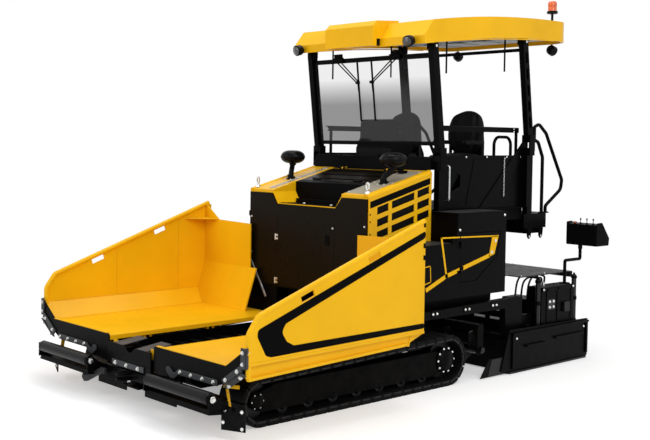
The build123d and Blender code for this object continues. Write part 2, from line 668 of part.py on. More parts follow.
# Front bulkhead, dash shelf and the fixed lower posts with the roof's fold lugs
fold_foot_y, fold_foot_z = fold_front_foot
post_in, post_out = post_x - post_width / 2, post_x + post_width / 2
lug = 18
with BuildPart() as bulkhead:
    block((-post_in + 12, post_in - 12), (bulkhead_y, bulkhead_y + 12), (floor_z, bulkhead_top))
    block((-post_in + 12, post_in - 12), (bulkhead_y, bulkhead_y + 60), (bulkhead_top - 14, bulkhead_top))
    block((-780, 780), (bulkhead_y + 12, bulkhead_y + 52), (slide_rail_z, slide_rail_z + 40))
    for side in sides.values():
        block((side * post_in, side * post_out), (fold_foot_y - 44, fold_foot_y + 44),
              (floor_z, fold_foot_z - 105))
        for x in (post_in - 4 - lug, post_out + 4):
            block((side * x, side * (x + lug)), (fold_foot_y - 44, fold_foot_y + 44),
                  (fold_foot_z - 190, fold_foot_z + 36))
        block((side * (post_in - 4 - lug), side * (post_out + 4 + lug)), (fold_foot_y - 44, fold_foot_y + 44),
              (fold_foot_z - 190, fold_foot_z - 105))
        axle((side * (post_in - 4), fold_foot_y, fold_foot_z), (side * (post_out + 4), fold_foot_y, fold_foot_z),
             fold_pin_r)
        block((side * (post_in - 34), side * (post_in - 4)), (bulkhead_y, fold_foot_y + 44),
              (fold_foot_z - 190, fold_foot_z - 80))
save(bulkhead, "bulkhead")

# Side panels of the station, with a small see-through window, and the rear brace plates
rear_foot_y, rear_foot_z = fold_rear_foot
with BuildPart() as platform_panels:
    for side in sides.values():
        side_profile([
            (fold_foot_y + 50, floor_z), (fold_foot_y + 50, panel_top), (rear_foot_y - 50, panel_top),
            (rear_foot_y - 50, floor_z),
        ], (side * (panel_half - 20), side * panel_half))
        side_profile([
            (700, 1905), (830, 2075), (870, 2075), (870, 1940), (720, 1880),
        ], (side * (panel_half - 30), side * (panel_half + 10)), Mode.SUBTRACT)
        # Fixed lower half of the rear post, with the fold lugs
        block((side * post_in, side * post_out), (rear_foot_y - 44, rear_foot_y + 44),
              (1620, rear_foot_z - 105))
        for x in (post_in - 4 - lug, post_out + 4):
            block((side * x, side * (x + lug)), (rear_foot_y - 44, rear_foot_y + 44),
                  (rear_foot_z - 190, rear_foot_z + 36))
        block((side * (post_in - 4 - lug), side * (post_out + 4 + lug)), (rear_foot_y - 44, rear_foot_y + 44),
              (rear_foot_z - 190, rear_foot_z - 105))
        axle((side * (post_in - 4), rear_foot_y, rear_foot_z), (side * (post_out + 4), rear_foot_y, rear_foot_z),
             fold_pin_r)
        block((side * (panel_half - 20), side * post_out), (rear_foot_y - 60, rear_foot_y + 44),
              (1700, rear_foot_z - 190))
        # Diagonal brace outside the panel
        side_profile([
            (rear_foot_y - 60, 2420), (rear_foot_y - 60, 2230), (1330, 1702), (1180, 1702),
        ], (side * panel_half, side * (panel_half + 10)))
save(platform_panels, "platform_panels")

with BuildPart() as guard_rails:
    for side in sides.values():
        rail_x = panel_half - 40
        block((side * (rail_x - 8), side * (rail_x + 8)), (fold_foot_y + 70, rear_foot_y - 80),
              (rail_z - 26, rail_z + 26))
        for y in (fold_foot_y + 100, rear_foot_y - 120):
            axle((side * rail_x, y, floor_z), (side * rail_x, y, rail_z - 26), 17)
        tube([
            (side * (rail_x - 60), 1560, floor_z), (side * (rail_x - 60), 1560, 2470),
            (side * (rail_x - 60), 1860, 2470), (side * (rail_x - 60), 1860, floor_z),
        ], 17, 90)
save(guard_rails, "guard_rails")

with BuildPart() as access_handrails:
    post_rear = rear_foot_y + 44
    for side in sides.values():
        for points, bends in (
            (((post_rear, 2300), (2090, 2300), (2090, 2585), (2190, 2622), (2330, 2520), (2660, 1990),
              (2640, 1880), (2345, 1700), (2345, 1620)), [30, 50, 60, 90, 60, 90, 50]),
            (((2090, 2450), (2180, 2420), (2270, 2250), (2270, 1620)), [60, 60]),
        ):
            tube([(side * post_x, y, z) for y, z in points], 19, bends)
save(access_handrails, "access_handrails")

# Control console on a rail across the bulkhead, with its steering wheel
console_half = 262
with BuildPart() as console:
    block((console_x - 150, console_x + 150), (bulkhead_y + 66, 560), (slide_rail_z - 20, slide_rail_z + 110))
    block((console_x - 150, console_x + 150), (bulkhead_y + 12.3, bulkhead_y + 66),
          (slide_rail_z + 40.3, slide_rail_z + 70))
    side_profile([
        (540, 2170), (540, 2330), (600, 2440), (890, 2380), (900, 2330), (820, 2250), (700, 2170),
    ], (console_x - console_half, console_x + console_half))
    side_profile([
        (590, 2420), (600, 2640), (660, 2648), (800, 2600), (790, 2586), (665, 2620), (640, 2610), (640, 2420),
    ], (console_x - console_half + 10, console_x + console_half - 10))
    axle((wheel_x, wheel_y, wheel_z), Vector(wheel_x, wheel_y, wheel_z) - wheel_axis * 190, 24)
save(console, "console")

with BuildPart() as steering_wheel:
    hub = Vector(wheel_x, wheel_y, wheel_z) + wheel_axis * running_gap
    with BuildSketch(Plane(origin=hub + wheel_axis * 14, z_dir=wheel_axis, x_dir=(1, 0, 0))):
        Circle(40)
        for turn in (90, 210, 330):
            with Locations(Location((0, 0), turn)):
                with Locations((85, 0)):
                    Rectangle(170, 26)
    extrude(amount=14, both=True)
    with Locations(Plane(origin=hub + wheel_axis * 14, z_dir=wheel_axis, x_dir=(1, 0, 0)).location):
        Torus(170, 15)
save(steering_wheel, "steering_wheel")

for name, side in sides.items():
    with BuildPart() as seat:
        axle((side * seat_x, seat_y, seat_foot_z + running_gap), (side * seat_x, seat_y, 2150), 66)
        block((side * (seat_x - 230), side * (seat_x + 230)), (seat_y - 215, seat_y + 215), (2150, 2275))
        fillet(seat.edges().filter_by(Axis.Z).sort_by(SortBy.LENGTH)[-4:], 60)
        side_profile([
            (seat_y + 130, 2275), (seat_y + 165, 2740), (seat_y + 235, 2740), (seat_y + 262, 2400),
            (seat_y + 215, 2200), (seat_y + 130, 2200),
        ], (side * (seat_x - 205), side * (seat_x + 205)))
        axle((side * seat_x, seat_y, seat_foot_z), (side * seat_x, seat_y, seat_foot_z + 64),
             30 + pin_gap, Mode.SUBTRACT)
    save(seat, f"seat_{name}")

# ---------------------------------------------------------------- folding roof
fold_length = hypot(*fold_vector)
fold_slant = degrees(atan2(fold_vector[1], fold_vector[0]))


def fold_point(foot, share, forward=0):
    """Point on a post's line, a share of the way up it and a distance in front of it."""
    along = Vector(*fold_vector) * (1 / fold_length)
    return (foot[0] + fold_vector[0] * share - along.Y * forward,
            foot[1] + fold_vector[1] * share + along.X * forward)


def post_pair(foot, windows):
    """Two posts on one fold axis, pierced by square windows in the rear pair."""
    for side in sides.values():
        with BuildSketch(Plane.YZ.offset(min(side * post_in, side * post_out))) as outline:
            with Locations(Location(fold_point(foot, 0.5))):
                SlotCenterToCenter(fold_length, post_depth, rotation=fold_slant)
            with Locations(fold_point(foot, 0), fold_point(foot, 1)):
                Circle(fold_pin_r + pin_gap, mode=Mode.SUBTRACT)
            for window in range(windows):
                share = (window + 1) / (windows + 1)
                with Locations(Location(fold_point(foot, share))):
                    Rectangle(fold_length / (windows + 1) - 60, post_depth - 50,
                              rotation=fold_slant, mode=Mode.SUBTRACT)
        extrude(to_extrude=outline.sketch, amount=post_width)


def fold_bar(foot, shares, depth, half):
    """Bar across the machine, running a stretch along the posts' line."""
    low, high = shares
    side_profile([
        fold_point(foot, low, depth), fold_point(foot, high, depth),
        fold_point(foot, high, -depth), fold_point(foot, low, -depth),
    ], (-half, half))


with BuildPart() as front_posts:
    post_pair(fold_front_foot, 0)
    fold_bar(fold_front_foot, (0.055, 0.082), 14, post_in + 2)
    fold_bar(fold_front_foot, (0.905, 0.94), 14, post_in + 2)
save(front_posts, "front_posts")

with BuildPart() as windscreen:
    fold_bar(fold_front_foot, (0.082, 0.905), 3, post_in - 1)
save(windscreen, "windscreen")

with BuildPart() as rear_posts:
    post_pair(fold_rear_foot, 5)
    fold_bar(fold_rear_foot, (0.90, 0.935), 14, post_in + 2)
save(rear_posts, "rear_posts")

skirt = 30
roof_top_arc = ((270, 3625), (1400, 3748), (roof_rear - 60, 3785))        # (y, z) of start, middle and end
roof_edge_arc = ((270, 3392), (1500, 3530), (roof_rear + 20, 3560))
lining_arc = ((200, 3440), (1500, 3585), (roof_rear, 3611))


def arc_height(arc, y):
    """Height at a station of the flat arc through three (y, z) points."""
    (ay, az), (by, bz), (cy, cz) = arc
    scale = 2 * (ay * (bz - cz) + by * (cz - az) + cy * (az - bz))
    a, b, c = ay * ay + az * az, by * by + bz * bz, cy * cy + cz * cz
    mid_y = (a * (bz - cz) + b * (cz - az) + c * (az - bz)) / scale
    mid_z = (a * (cy - by) + b * (ay - cy) + c * (by - ay)) / scale
    return mid_z + (hypot(ay - mid_y, az - mid_z) ** 2 - (y - mid_y) ** 2) ** 0.5


def roof_plan(inset):
    """Trims the current part to the roof's plan, with its rounded rear corners, less an inset."""
    with BuildSketch(Plane.XY.offset(3300)) as plan:
        with Locations((0, (roof_front + roof_rear) / 2)):
            Rectangle(2 * (roof_half - inset), roof_rear - roof_front - 2 * inset)
        fillet(plan.vertices().group_by(Axis.Y)[-1], roof_corner - inset)
    extrude(to_extrude=plan.sketch, amount=700, mode=Mode.INTERSECT)


with BuildPart() as lining:
    with BuildSketch(Plane.YZ.offset(-roof_half)) as outline:
        with BuildLine():
            Line((lining_arc[0][0], 3300), lining_arc[0])
            ThreePointArc(*lining_arc)
            Polyline(lining_arc[2], (lining_arc[2][0], 3300), (lining_arc[0][0], 3300))
        make_face()
    extrude(to_extrude=outline.sketch, amount=2 * roof_half)
    roof_plan(skirt)

with BuildPart() as roof_shell:
    with BuildSketch(Plane.YZ.offset(-roof_half)) as outline:
        with BuildLine():
            Polyline(roof_edge_arc[0], (roof_front, 3376), (roof_front, 3462), roof_top_arc[0])
            ThreePointArc(*roof_top_arc)
            Polyline(roof_top_arc[2], (roof_rear + 20, 3725), roof_edge_arc[2])
            ThreePointArc(*reversed(roof_edge_arc))
        make_face()
    extrude(to_extrude=outline.sketch, amount=2 * roof_half)
    roof_plan(0)
    add(lining.part, mode=Mode.SUBTRACT)
    # Raised visor over the middle of the front
    side_profile([
        (visor_front, 3384), (visor_front, 3590), (visor_front + 60, 3645), (420, 3668), (420, 3630),
        (roof_front + 5, 3450), (roof_front + 5, 3384),
    ], (-visor_half, visor_half))
save(roof_shell, "roof_shell")

# Pivot lugs and cross beams under the roof
lug_half = 34
with BuildPart() as roof_frame:
    for foot in (fold_front_foot, fold_rear_foot):
        head_y, head_z = fold_point(foot, 1)
        ceiling = min(arc_height(lining_arc, head_y - lug_half), arc_height(lining_arc, head_y + lug_half))
        ceiling -= running_gap
        for side in sides.values():
            for low, high in ((post_in - 4 - lug, post_in - 4), (post_out + 4, roof_half - skirt - 0.5)):
                block((side * low, side * high), (head_y - lug_half, head_y + lug_half), (head_z - 34, ceiling))
            axle((side * (post_in - 6), head_y, head_z), (side * (post_out + 5), head_y, head_z), fold_pin_r)
        block((-post_in + 4, post_in - 4), (head_y - 26, head_y + 26), (ceiling - 40, ceiling))
save(roof_frame, "roof_frame")

with BuildPart() as roof_lamps:
    for side in sides.values():
        lamp_y, lamp_z = 68, 3404
        with Locations((side * 811, lamp_y, lamp_z)):
            Sphere(lamp_r)
        axle((side * 811, lamp_y, lamp_z), (side * 811, roof_front, lamp_z), 24)
        # The rear pair hang from the rear skirt
        lamp_y = roof_rear - skirt / 2
        skirt_z = arc_height(roof_edge_arc, lamp_y)
        with Locations((side * 690, lamp_y, skirt_z - lamp_r - 5)):
            Sphere(lamp_r)
        axle((side * 690, lamp_y, skirt_z - lamp_r - 5), (side * 690, lamp_y, skirt_z - running_gap), 12)
save(roof_lamps, "roof_lamps")

beacon_x, beacon_y = 740, 2610
beacon_z = arc_height(roof_top_arc, beacon_y) + running_gap
with BuildPart() as beacon:
    for low, high, radius in ((0, 120, 14), (120, 150, 62), (150, 270, 52)):
        axle((beacon_x, beacon_y, beacon_z + low), (beacon_x, beacon_y, beacon_z + high), radius)
    fillet(beacon.edges().filter_by(GeomType.CIRCLE).sort_by(Axis.Z)[-1], 24)
save(beacon, "beacon")

# ---------------------------------------------------------------- auger
flight_pitch, flight_steps = 300, 8
with BuildPart() as auger_carriage:
    block((-auger_hanger - 20, auger_hanger + 20), (auger_y - 45, auger_y + 45), (484, 552))
    block((-auger_in + 8, auger_in - 8), (auger_y - 75, auger_y + 75), (auger_z - 105, 552))
    axle((-auger_in - 20, auger_y, auger_z), (auger_in + 20, auger_y, auger_z),
         auger_shaft_r - 15 + pin_gap, Mode.SUBTRACT)
    for side in sides.values():
        block((side * auger_hanger, side * (auger_hanger + 20)), (auger_y - 45, auger_y + 45),
              (auger_z - 50, 484))
        axle((side * (auger_hanger - 5), auger_y, auger_z), (side * (auger_hanger + 25), auger_y, auger_z),
             auger_shaft_r - 15 + pin_gap, Mode.SUBTRACT)
        # Uprights that slide against the frame plates
        block((side * (frame_x - 30), side * (frame_x - running_gap)), (auger_y - 70, auger_y + 70), (500, 745))
save(auger_carriage, "auger_carriage")

for name, side in sides.items():
    with BuildPart() as auger:
        axle((side * auger_in, auger_y, auger_z), (side * auger_out, auger_y, auger_z), auger_shaft_r)
        for x in (auger_in - 60, auger_out):
            axle((side * x, auger_y, auger_z), (side * (x + 60), auger_y, auger_z), auger_shaft_r - 15)
        # Screw flight of flat paddles, each turned on from the last
        paddle = 2 * auger_r * sin(pi / flight_steps)
        reach = auger_r * cos(pi / flight_steps)
        lead = degrees(atan2(flight_pitch, 2 * pi * auger_r * 0.7))
        first, last = auger_in + 60, auger_out - 50
        for step in range(int((last - first) * flight_steps / flight_pitch)):
            x = first + step * flight_pitch / flight_steps
            turn = Location((side * x, auger_y, auger_z), (step * 360 / flight_steps, 0, 0))
            with Locations(turn * Location((0, 0, (reach + 25) / 2), (0, 0, side * lead))):
                Box(12, paddle, reach - 25)
    save(auger, f"auger_{name}")

# ---------------------------------------------------------------- screed
sole = 12                   # ground clearance of the screed's sole while parked
extension_low, extension_top = 14, 420
guide_y, guide_z, guide_r = 1745, 500, 38
guide_out = screed_half - 100            # outer end of the extensions' guide tubes
with BuildPart() as screed_base:
    block((-screed_half, screed_half), (screed_front, screed_split_y - 15), (sole, 330))
    block((-screed_half, screed_half), (screed_front + 60, screed_split_y - 15), (330, 380))
    block((-15, 15), (screed_split_y - 15, guide_y + 60), (440, 560))
    for side in sides.values():
        block((side * (guide_out - 40), side * guide_out), (screed_split_y - 60, guide_y + 55), (440, 560))
        for x in (700, 140):
            block((side * x, side * (x + 22)), (screed_split_y - 75, screed_split_y - 15), (380, walkway_z - 45))
        axle((side * 15, guide_y, guide_z), (side * guide_out, guide_y, guide_z), guide_r)
    block((-screed_half, screed_half), (screed_split_y - 60, screed_split_y - 15), (380, 440))
    block((-15, 15), (screed_split_y - 60, screed_split_y - 15), (440, 560))
    block((-screed_half, screed_half), (screed_split_y - 60, screed_split_y - 15), (440, 470))
save(screed_base, "screed_base")

with BuildPart() as tow_arms:
    for side in sides.values():
        span = (side * arm_in, side * arm_out)
        side_profile([
            (tow_y - 60, tow_z - 38), (tow_y - 60, tow_z + 38), (1230, tow_z + 60), (1540, tow_z + 60),
            (1540, 470), (1520, 380), (screed_front + 60, 380), (1240, tow_z - 38),
        ], span)
        axle((side * (arm_in - 2), tow_y, tow_z), (side * (arm_out + 2), tow_y, tow_z), 30 + pin_gap,
             Mode.SUBTRACT)
save(tow_arms, "tow_arms")

with BuildPart() as screed_walkway:
    block((-1100, 1100), (screed_split_y + 20, screed_rear + 30), (walkway_z - 6, walkway_z))
    for side in sides.values():
        for x in (140, 700):
            block((side * x, side * (x + 22)), (screed_split_y - 75, screed_rear), (walkway_z - 45, walkway_z - 6))
    block((-1100, 1100), (screed_rear + 24, screed_rear + 30), (walkway_z - 70, walkway_z - 6))
save(screed_walkway, "screed_walkway")

tower_in, tower_front = screed_half - 200, 1812
for name, side in sides.items():
    with BuildPart() as extension:
        block((side * 8, side * screed_half), (screed_split_y + 5, screed_rear), (extension_low, 300))
        block((side * 8, side * screed_half), (screed_split_y + 5, screed_rear - 60), (300, extension_top))
        # Sleeve on the guide tube
        block((side * 40, side * 340), (guide_y - 55, guide_y + 55), (extension_top, guide_z + 58))
        axle((side * 38, guide_y, guide_z), (side * 342, guide_y, guide_z), guide_r + pin_gap, Mode.SUBTRACT)
        # Hydraulics box over the outer end
        block((side * tower_in, side * (screed_half - 10)), (tower_front, 2420), (extension_top, 840))
        block((side * 500, side * tower_in), (2100, 2380), (extension_top, 640))
        # Height spindles in their tubes
        for y in (tower_front - 36, 2462):
            axle((side * (screed_half - 34), y, extension_top), (side * (screed_half - 34), y, 940), 26)
        # Cranked post of the remote-control panel
        axle((side * remote_x, remote_y, 840), (side * remote_x, remote_y, 852), 60)
        tube([
            (side * remote_x, remote_y, 845), (side * remote_x, remote_y, 1100),
            (side * remote_x, remote_top_y, 1100), (side * remote_x, remote_top_y, 1215),
        ], 18, 20)
    save(extension, f"screed_extension_{name}")

    with BuildPart() as end_plate:
        inner, outer = side * plate_x, side * (plate_x + plate_thickness)
        side_profile([
            (end_plate_front, 40), (end_plate_front + 90, 8), (end_plate_rear - 30, 8),
            (end_plate_rear, 30), (end_plate_rear, 440), (1190, 460), (1170, 440),
        ], (inner, outer))
        block((side * screed_half, inner), (screed_split_y + 60, screed_rear - 60), (60, 400))
        # Thin leading plate that closes the gap to the track
        side_profile([
            (720, 10), (end_plate_front + 100, 10), (end_plate_front + 60, 190), (860, 190),
        ], (inner, side * (plate_x + 8)))
    save(end_plate, f"end_plate_{name}")

    # Remote-control panel of the screed, on a swivel
    with BuildPart() as remote_panel:
        axle((side * remote_x, remote_top_y, 1215 + running_gap), (side * remote_x, remote_top_y, 1262), 24)
        side_profile([
            (remote_top_y - 75, 1262), (remote_top_y - 75, 1500), (remote_top_y + 20, 1512),
            (machine_rear, 1330), (machine_rear - 10, 1262),
        ], (side * (remote_x - 130), side * (remote_x + 250)))
    save(remote_panel, f"remote_panel_{name}")

# ---------------------------------------------------------------- hopper cylinders
cylinder_run = Vector(cylinder_eye[0] - cylinder_foot[0], 0, cylinder_eye[1] - cylinder_foot[1])
for name, side in sides.items():
    foot = Vector(side * cylinder_foot[0], cylinder_y, cylinder_foot[1])
    along = Vector(side * cylinder_run.X, 0, cylinder_run.Z).normalized()
    eye = foot + along * cylinder_run.length
    across = Vector(0, 20, 0)
    with BuildPart() as barrel:
        axle(foot - across, foot + across, 32)
        axle(foot + along * 20, foot + along * 285, 38)
        axle(foot - across * 1.1, foot + across * 1.1, 14 + pin_gap, Mode.SUBTRACT)
        axle(foot + along * 60, foot + along * 290, 20 + pin_gap, Mode.SUBTRACT)
    save(barrel, f"hopper_cylinder_{name}")
    with BuildPart() as rod:
        axle(foot + along * 75, eye - along * 30, 20)
        axle(eye - across, eye + across, 40)
        axle(eye - across * 1.1, eye + across * 1.1, 14 + eye_drift, Mode.SUBTRACT)
    save(rod, f"hopper_rod_{name}")
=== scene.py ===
import logging
from collections.abc import Callable, Iterable, Sequence
from dataclasses import dataclass
from enum import Enum
from math import atan2, cos, hypot, pi, radians, sin, sqrt, tan
from typing import ClassVar

import bmesh
import bpy
from mathutils import Matrix, Vector


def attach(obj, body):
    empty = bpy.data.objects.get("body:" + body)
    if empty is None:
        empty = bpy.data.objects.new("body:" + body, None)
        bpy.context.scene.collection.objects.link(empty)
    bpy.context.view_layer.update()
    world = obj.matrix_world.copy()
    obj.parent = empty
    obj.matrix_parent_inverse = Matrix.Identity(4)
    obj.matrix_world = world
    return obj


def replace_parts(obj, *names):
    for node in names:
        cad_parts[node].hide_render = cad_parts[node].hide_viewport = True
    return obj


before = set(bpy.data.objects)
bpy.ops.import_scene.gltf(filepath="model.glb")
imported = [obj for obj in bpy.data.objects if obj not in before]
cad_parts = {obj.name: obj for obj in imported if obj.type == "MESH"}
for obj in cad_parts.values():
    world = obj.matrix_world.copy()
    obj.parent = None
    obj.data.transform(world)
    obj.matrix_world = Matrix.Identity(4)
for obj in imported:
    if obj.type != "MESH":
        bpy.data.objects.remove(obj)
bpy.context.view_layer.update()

log = logging.getLogger("paver")

Point = tuple[float, float, float]
Flat = tuple[float, float]
Colour = tuple[float, float, float]
Socket = bpy.types.NodeSocket
Thing = bpy.types.Object
Material = bpy.types.Material
Feed = Socket | float | tuple[float, ...]
X, Y, Z = Vector((1, 0, 0)), Vector((0, 1, 0)), Vector((0, 0, 1))


class Side(Enum):
    """The machine's two sides, seen from the driver's seat."""

    LEFT = 1
    RIGHT = -1

    @property
    def label(self) -> str:
        """The side's word in the names of nodes and bodies."""
        return self.name.lower()

    def x(self, distance: float) -> float:
        """A distance from the centre plane as an x on this side."""
        return self.value * distance


class Plane(Enum):
    """Plane that a flat outline lies in, as the two axes of its corners and the axis it is extruded along."""

    SIDE = (1, 2, 0)
    FRONT = (0, 2, 1)
    TOP = (0, 1, 2)

    def place(self, corner: Flat, depth: float) -> Vector:
        """A corner of the outline at a depth.

        Args:
            corner: Its place in the plane.
            depth: How far along the third axis it lies.

        Returns:
            The point.
        """
        point = Vector()
        point[self.value[0]], point[self.value[1]] = corner
        point[self.value[2]] = depth
        return point


# Finishes.
class Nodes:
    """Short calls for the nodes of one tree."""

    def __init__(self, tree: bpy.types.NodeTree) -> None:
        """Takes the tree."""
        self.tree = tree

    def link(self, out: Socket, into: Socket) -> None:
        """Joins two sockets."""
        self.tree.links.new(out, into)

    def node(self, kind: str, feeds: dict[int | str, Feed] | None = None,
            **settings: str | int) -> bpy.types.Node:
        """Adds a node.

        Args:
            kind: Its type, without Blender's prefix.
            feeds: A socket, number, vector or colour for some of its inputs.
            settings: Its own options.

        Returns:
            The node.
        """
        node = self.tree.nodes.new("ShaderNode" + kind)
        for name, value in settings.items():
            setattr(node, name, value)
        self.feed(node, feeds or {})
        return node

    def feed(self, node: bpy.types.Node, feeds: dict[int | str, Feed]) -> None:
        """Fills some of a node's inputs.

        Args:
            node: The node.
            feeds: A socket to link or a value to set, for each input's name or number.
        """
        for name, value in feeds.items():
            into = node.inputs[name]
            if isinstance(value, Socket):
                self.link(value, into)
            else:
                into.default_value = (*value, 1) if into.type == "RGBA" else value

    def math(self, operation: str, first: Socket, second: Socket | float = 0) -> Socket:
        """One sum of two values."""
        return self.node("Math", {0: first, 1: second}, operation=operation).outputs["Value"]


class NodeMaker(Nodes):
    """Short calls for the nodes of one material."""

    def __init__(self, name: str) -> None:
        """Starts a material with its Principled shader."""
        self.material = bpy.data.materials.new(name)
        self.material.use_nodes = True
        super().__init__(self.material.node_tree)
        self.shader = self.tree.nodes["Principled BSDF"]
        self.place = self.node("TexCoord").outputs["Object"]

    def noise(self, scale: float, detail: float = 3.0, stretch: Point = (1, 1, 1)) -> Socket:
        """Noise in the machine's own metres.

        Args:
            scale: Cells to a metre.
            detail: Octaves.
            stretch: Scale along each axis, for grain that runs one way.

        Returns:
            The noise value, about 0.5 on average.
        """
        mapping = self.node("Mapping", {"Vector": self.place, "Scale": stretch})
        return self.node("TexNoise", {"Vector": mapping.outputs["Vector"], "Scale": scale,
            "Detail": detail}).outputs["Fac"]

    def ramp(self, value: Socket, colour: Colour, dark: float, light: float) -> Socket:
        """Two shades of a colour picked by a value.

        Args:
            value: Socket with the value.
            colour: The colour.
            dark: Its factor for values up to 0.3.
            light: Its factor for values from 0.7.

        Returns:
            The colour.
        """
        node = self.node("ValToRGB", {"Fac": value})
        for element, place, factor in zip(node.color_ramp.elements, (0.3, 0.7), (dark, light)):
            element.position = place
            element.color = (*shade(colour, factor), 1)
        return node.outputs["Color"]

    def span(self, value: Socket, low: float, high: float, to_low: float = 0, to_high: float = 1) -> Socket:
        """A value carried from one span to another, clamped at its ends.

        Args:
            value: Socket with the value.
            low: Start of its span.
            high: End of its span.
            to_low: What the start becomes.
            to_high: What the end becomes.

        Returns:
            The new value.
        """
        return self.node("MapRange", {"Value": value, "From Min": low, "From Max": high, "To Min": to_low,
            "To Max": to_high}).outputs["Result"]

    def mix(self, factor: Socket, first: Socket | Colour, second: Socket | Colour) -> Socket:
        """Two colours mixed by a factor."""
        return self.node("Mix", {"Factor": factor, 6: first, 7: second}, data_type="RGBA").outputs[2]

    def height(self) -> Socket:
        """Height above the ground, in metres."""
        return self.node("SeparateXYZ", {"Vector": self.place}).outputs["Z"]

    def rounded(self, radius: float) -> Socket:
        """The normal of a surface whose edges are rounded to a radius in metres."""
        return self.node("Bevel", {"Radius": radius}, samples=4).outputs["Normal"]

    def edges(self, rounded: Socket) -> Socket:
        """How far the rounded normal leans from the true one: 0 on flat sheet, up to 1 at an edge."""
        true = self.node("NewGeometry").outputs["Normal"]
        lean = self.node("VectorMath", {0: rounded, 1: true}, operation="DOT_PRODUCT")
        return self.span(lean.outputs["Value"], 0.98, 0.8)

    def set(self, **feeds: Feed) -> None:
        """Feeds the shader's own inputs; a name's words are joined by underscores."""
        self.feed(self.shader, {name.replace("_", " "): value for name, value in feeds.items()})

    def bump(self, height: Socket, depth: float, normal: Socket | None = None) -> None:
        """Fine relief.

        Args:
            height: Socket with the height, 0 to 1.
            depth: Real depth of the relief in metres.
            normal: Normal that the relief is laid over, if not the mesh's own.
        """
        feeds = {"Distance": depth, "Height": height}
        if normal:
            feeds["Normal"] = normal
        self.set(Normal=self.node("Bump", feeds).outputs["Normal"])


def shade(colour: Colour, factor: float) -> Colour:
    """A colour made lighter or darker."""
    return tuple(min(channel * factor, 1) for channel in colour)


@dataclass(frozen=True)
class Finish:
    """Base of the finishes.

    Attributes:
        name: Name of the material.
        slot: Material slot of the record that it goes with; not used.
        colour: Colour of the clean surface.
    """

    name: str
    slot: str
    colour: Colour


@dataclass(frozen=True)
class Paint(Finish):
    """Sprayed paint with a little orange peel, dust low down and worn edges.

    Attributes:
        rough: Roughness of the clean paint.
        coat: Weight of the clear coat.
        peel: Depth of the orange peel in metres.
        wear: Colour that shows at rubbed edges.
        dust: How strongly dust dulls the lowest half metre, 0 to 1.
        edge: Radius of the rounded edges in metres.
        shine: Specular level.
    """

    rough: float = 0.3
    coat: float = 0.3
    peel: float = 0.00012
    wear: Colour = (0.35, 0.34, 0.32)
    dust: float = 0.2
    edge: float = 0.004
    shine: float = 0.5

    def build(self) -> Material:
        """Makes the material."""
        nodes = NodeMaker(self.name)
        cloud = nodes.noise(1.7, 4)
        paint = nodes.ramp(cloud, self.colour, 0.93, 1.05)
        rounded = nodes.rounded(self.edge)
        rubbed = nodes.math("MULTIPLY", nodes.edges(rounded), nodes.span(nodes.noise(38, 5), 0.55, 0.75))
        worn = nodes.mix(rubbed, paint, self.wear)
        dusty = nodes.math("MULTIPLY", nodes.span(nodes.height(), 0.05, 0.9, self.dust, 0),
            nodes.span(nodes.noise(9, 6), 0.35, 0.75))
        nodes.set(Base_Color=nodes.mix(dusty, worn, (0.22, 0.2, 0.17)))
        nodes.set(Roughness=nodes.span(nodes.noise(21, 3), 0.3, 0.7, self.rough - 0.04, self.rough + 0.07))
        nodes.bump(nodes.noise(420, 2), self.peel, rounded)
        nodes.set(Coat_Weight=self.coat, Coat_Roughness=0.12, Specular_IOR_Level=self.shine)
        return nodes.material


@dataclass(frozen=True)
class Metal(Finish):
    """Bare, plated or polished metal.

    Attributes:
        rough: Roughness.
        stretch: Direction of the brushing, as the noise's scale along each axis.
        grain: Cells of the grain to a metre.
        depth: Depth of the grain in metres.
        stain: Colour of the stains.
        stained: How much of the surface is stained, 0 to 1.
    """

    rough: float = 0.3
    stretch: Point = (1, 1, 1)
    grain: float = 300.0
    depth: float = 0.00006
    stain: Colour = (0.12, 0.11, 0.1)
    stained: float = 0.3

    def build(self) -> Material:
        """Makes the material."""
        nodes = NodeMaker(self.name)
        grain = nodes.noise(self.grain, 3, self.stretch)
        blotch = nodes.span(nodes.noise(6, 6), 0.62 - 0.25 * self.stained, 0.8, 0, self.stained)
        base = nodes.ramp(grain, self.colour, 0.86, 1.08)
        nodes.set(Base_Color=nodes.mix(blotch, base, self.stain))
        nodes.set(Roughness=nodes.span(nodes.noise(14, 4), 0.3, 0.7, self.rough - 0.06, self.rough + 0.12))
        nodes.bump(grain, self.depth)
        nodes.set(Metallic=1)
        return nodes.material


@dataclass(frozen=True)
class Moulded(Finish):
    """Rubber, moulded plastic or vinyl with a fine grain.

    Attributes:
        rough: Roughness.
        grain: Cells of the moulded grain to a metre.
        depth: Depth of the grain in metres.
        dust: How strongly pale dust shows, 0 to 1.
        sheen: Weight of the sheen.
        shine: Specular level.
    """

    rough: float = 0.5
    grain: float = 700.0
    depth: float = 0.0002
    dust: float = 0.15
    sheen: float = 0.0
    shine: float = 0.08

    def build(self) -> Material:
        """Makes the material."""
        nodes = NodeMaker(self.name)
        cloud = nodes.ramp(nodes.noise(5, 5), self.colour, 0.8, 1.25)
        dusty = nodes.span(nodes.noise(13, 7), 0.45, 0.8, 0, self.dust)
        nodes.set(Base_Color=nodes.mix(dusty, cloud, (0.2, 0.19, 0.17)))
        nodes.set(Roughness=nodes.span(nodes.noise(30, 3), 0.3, 0.7, self.rough - 0.06, self.rough + 0.08))
        nodes.bump(nodes.noise(self.grain, 2), self.depth)
        nodes.set(Sheen_Weight=self.sheen, Specular_IOR_Level=self.shine)
        return nodes.material


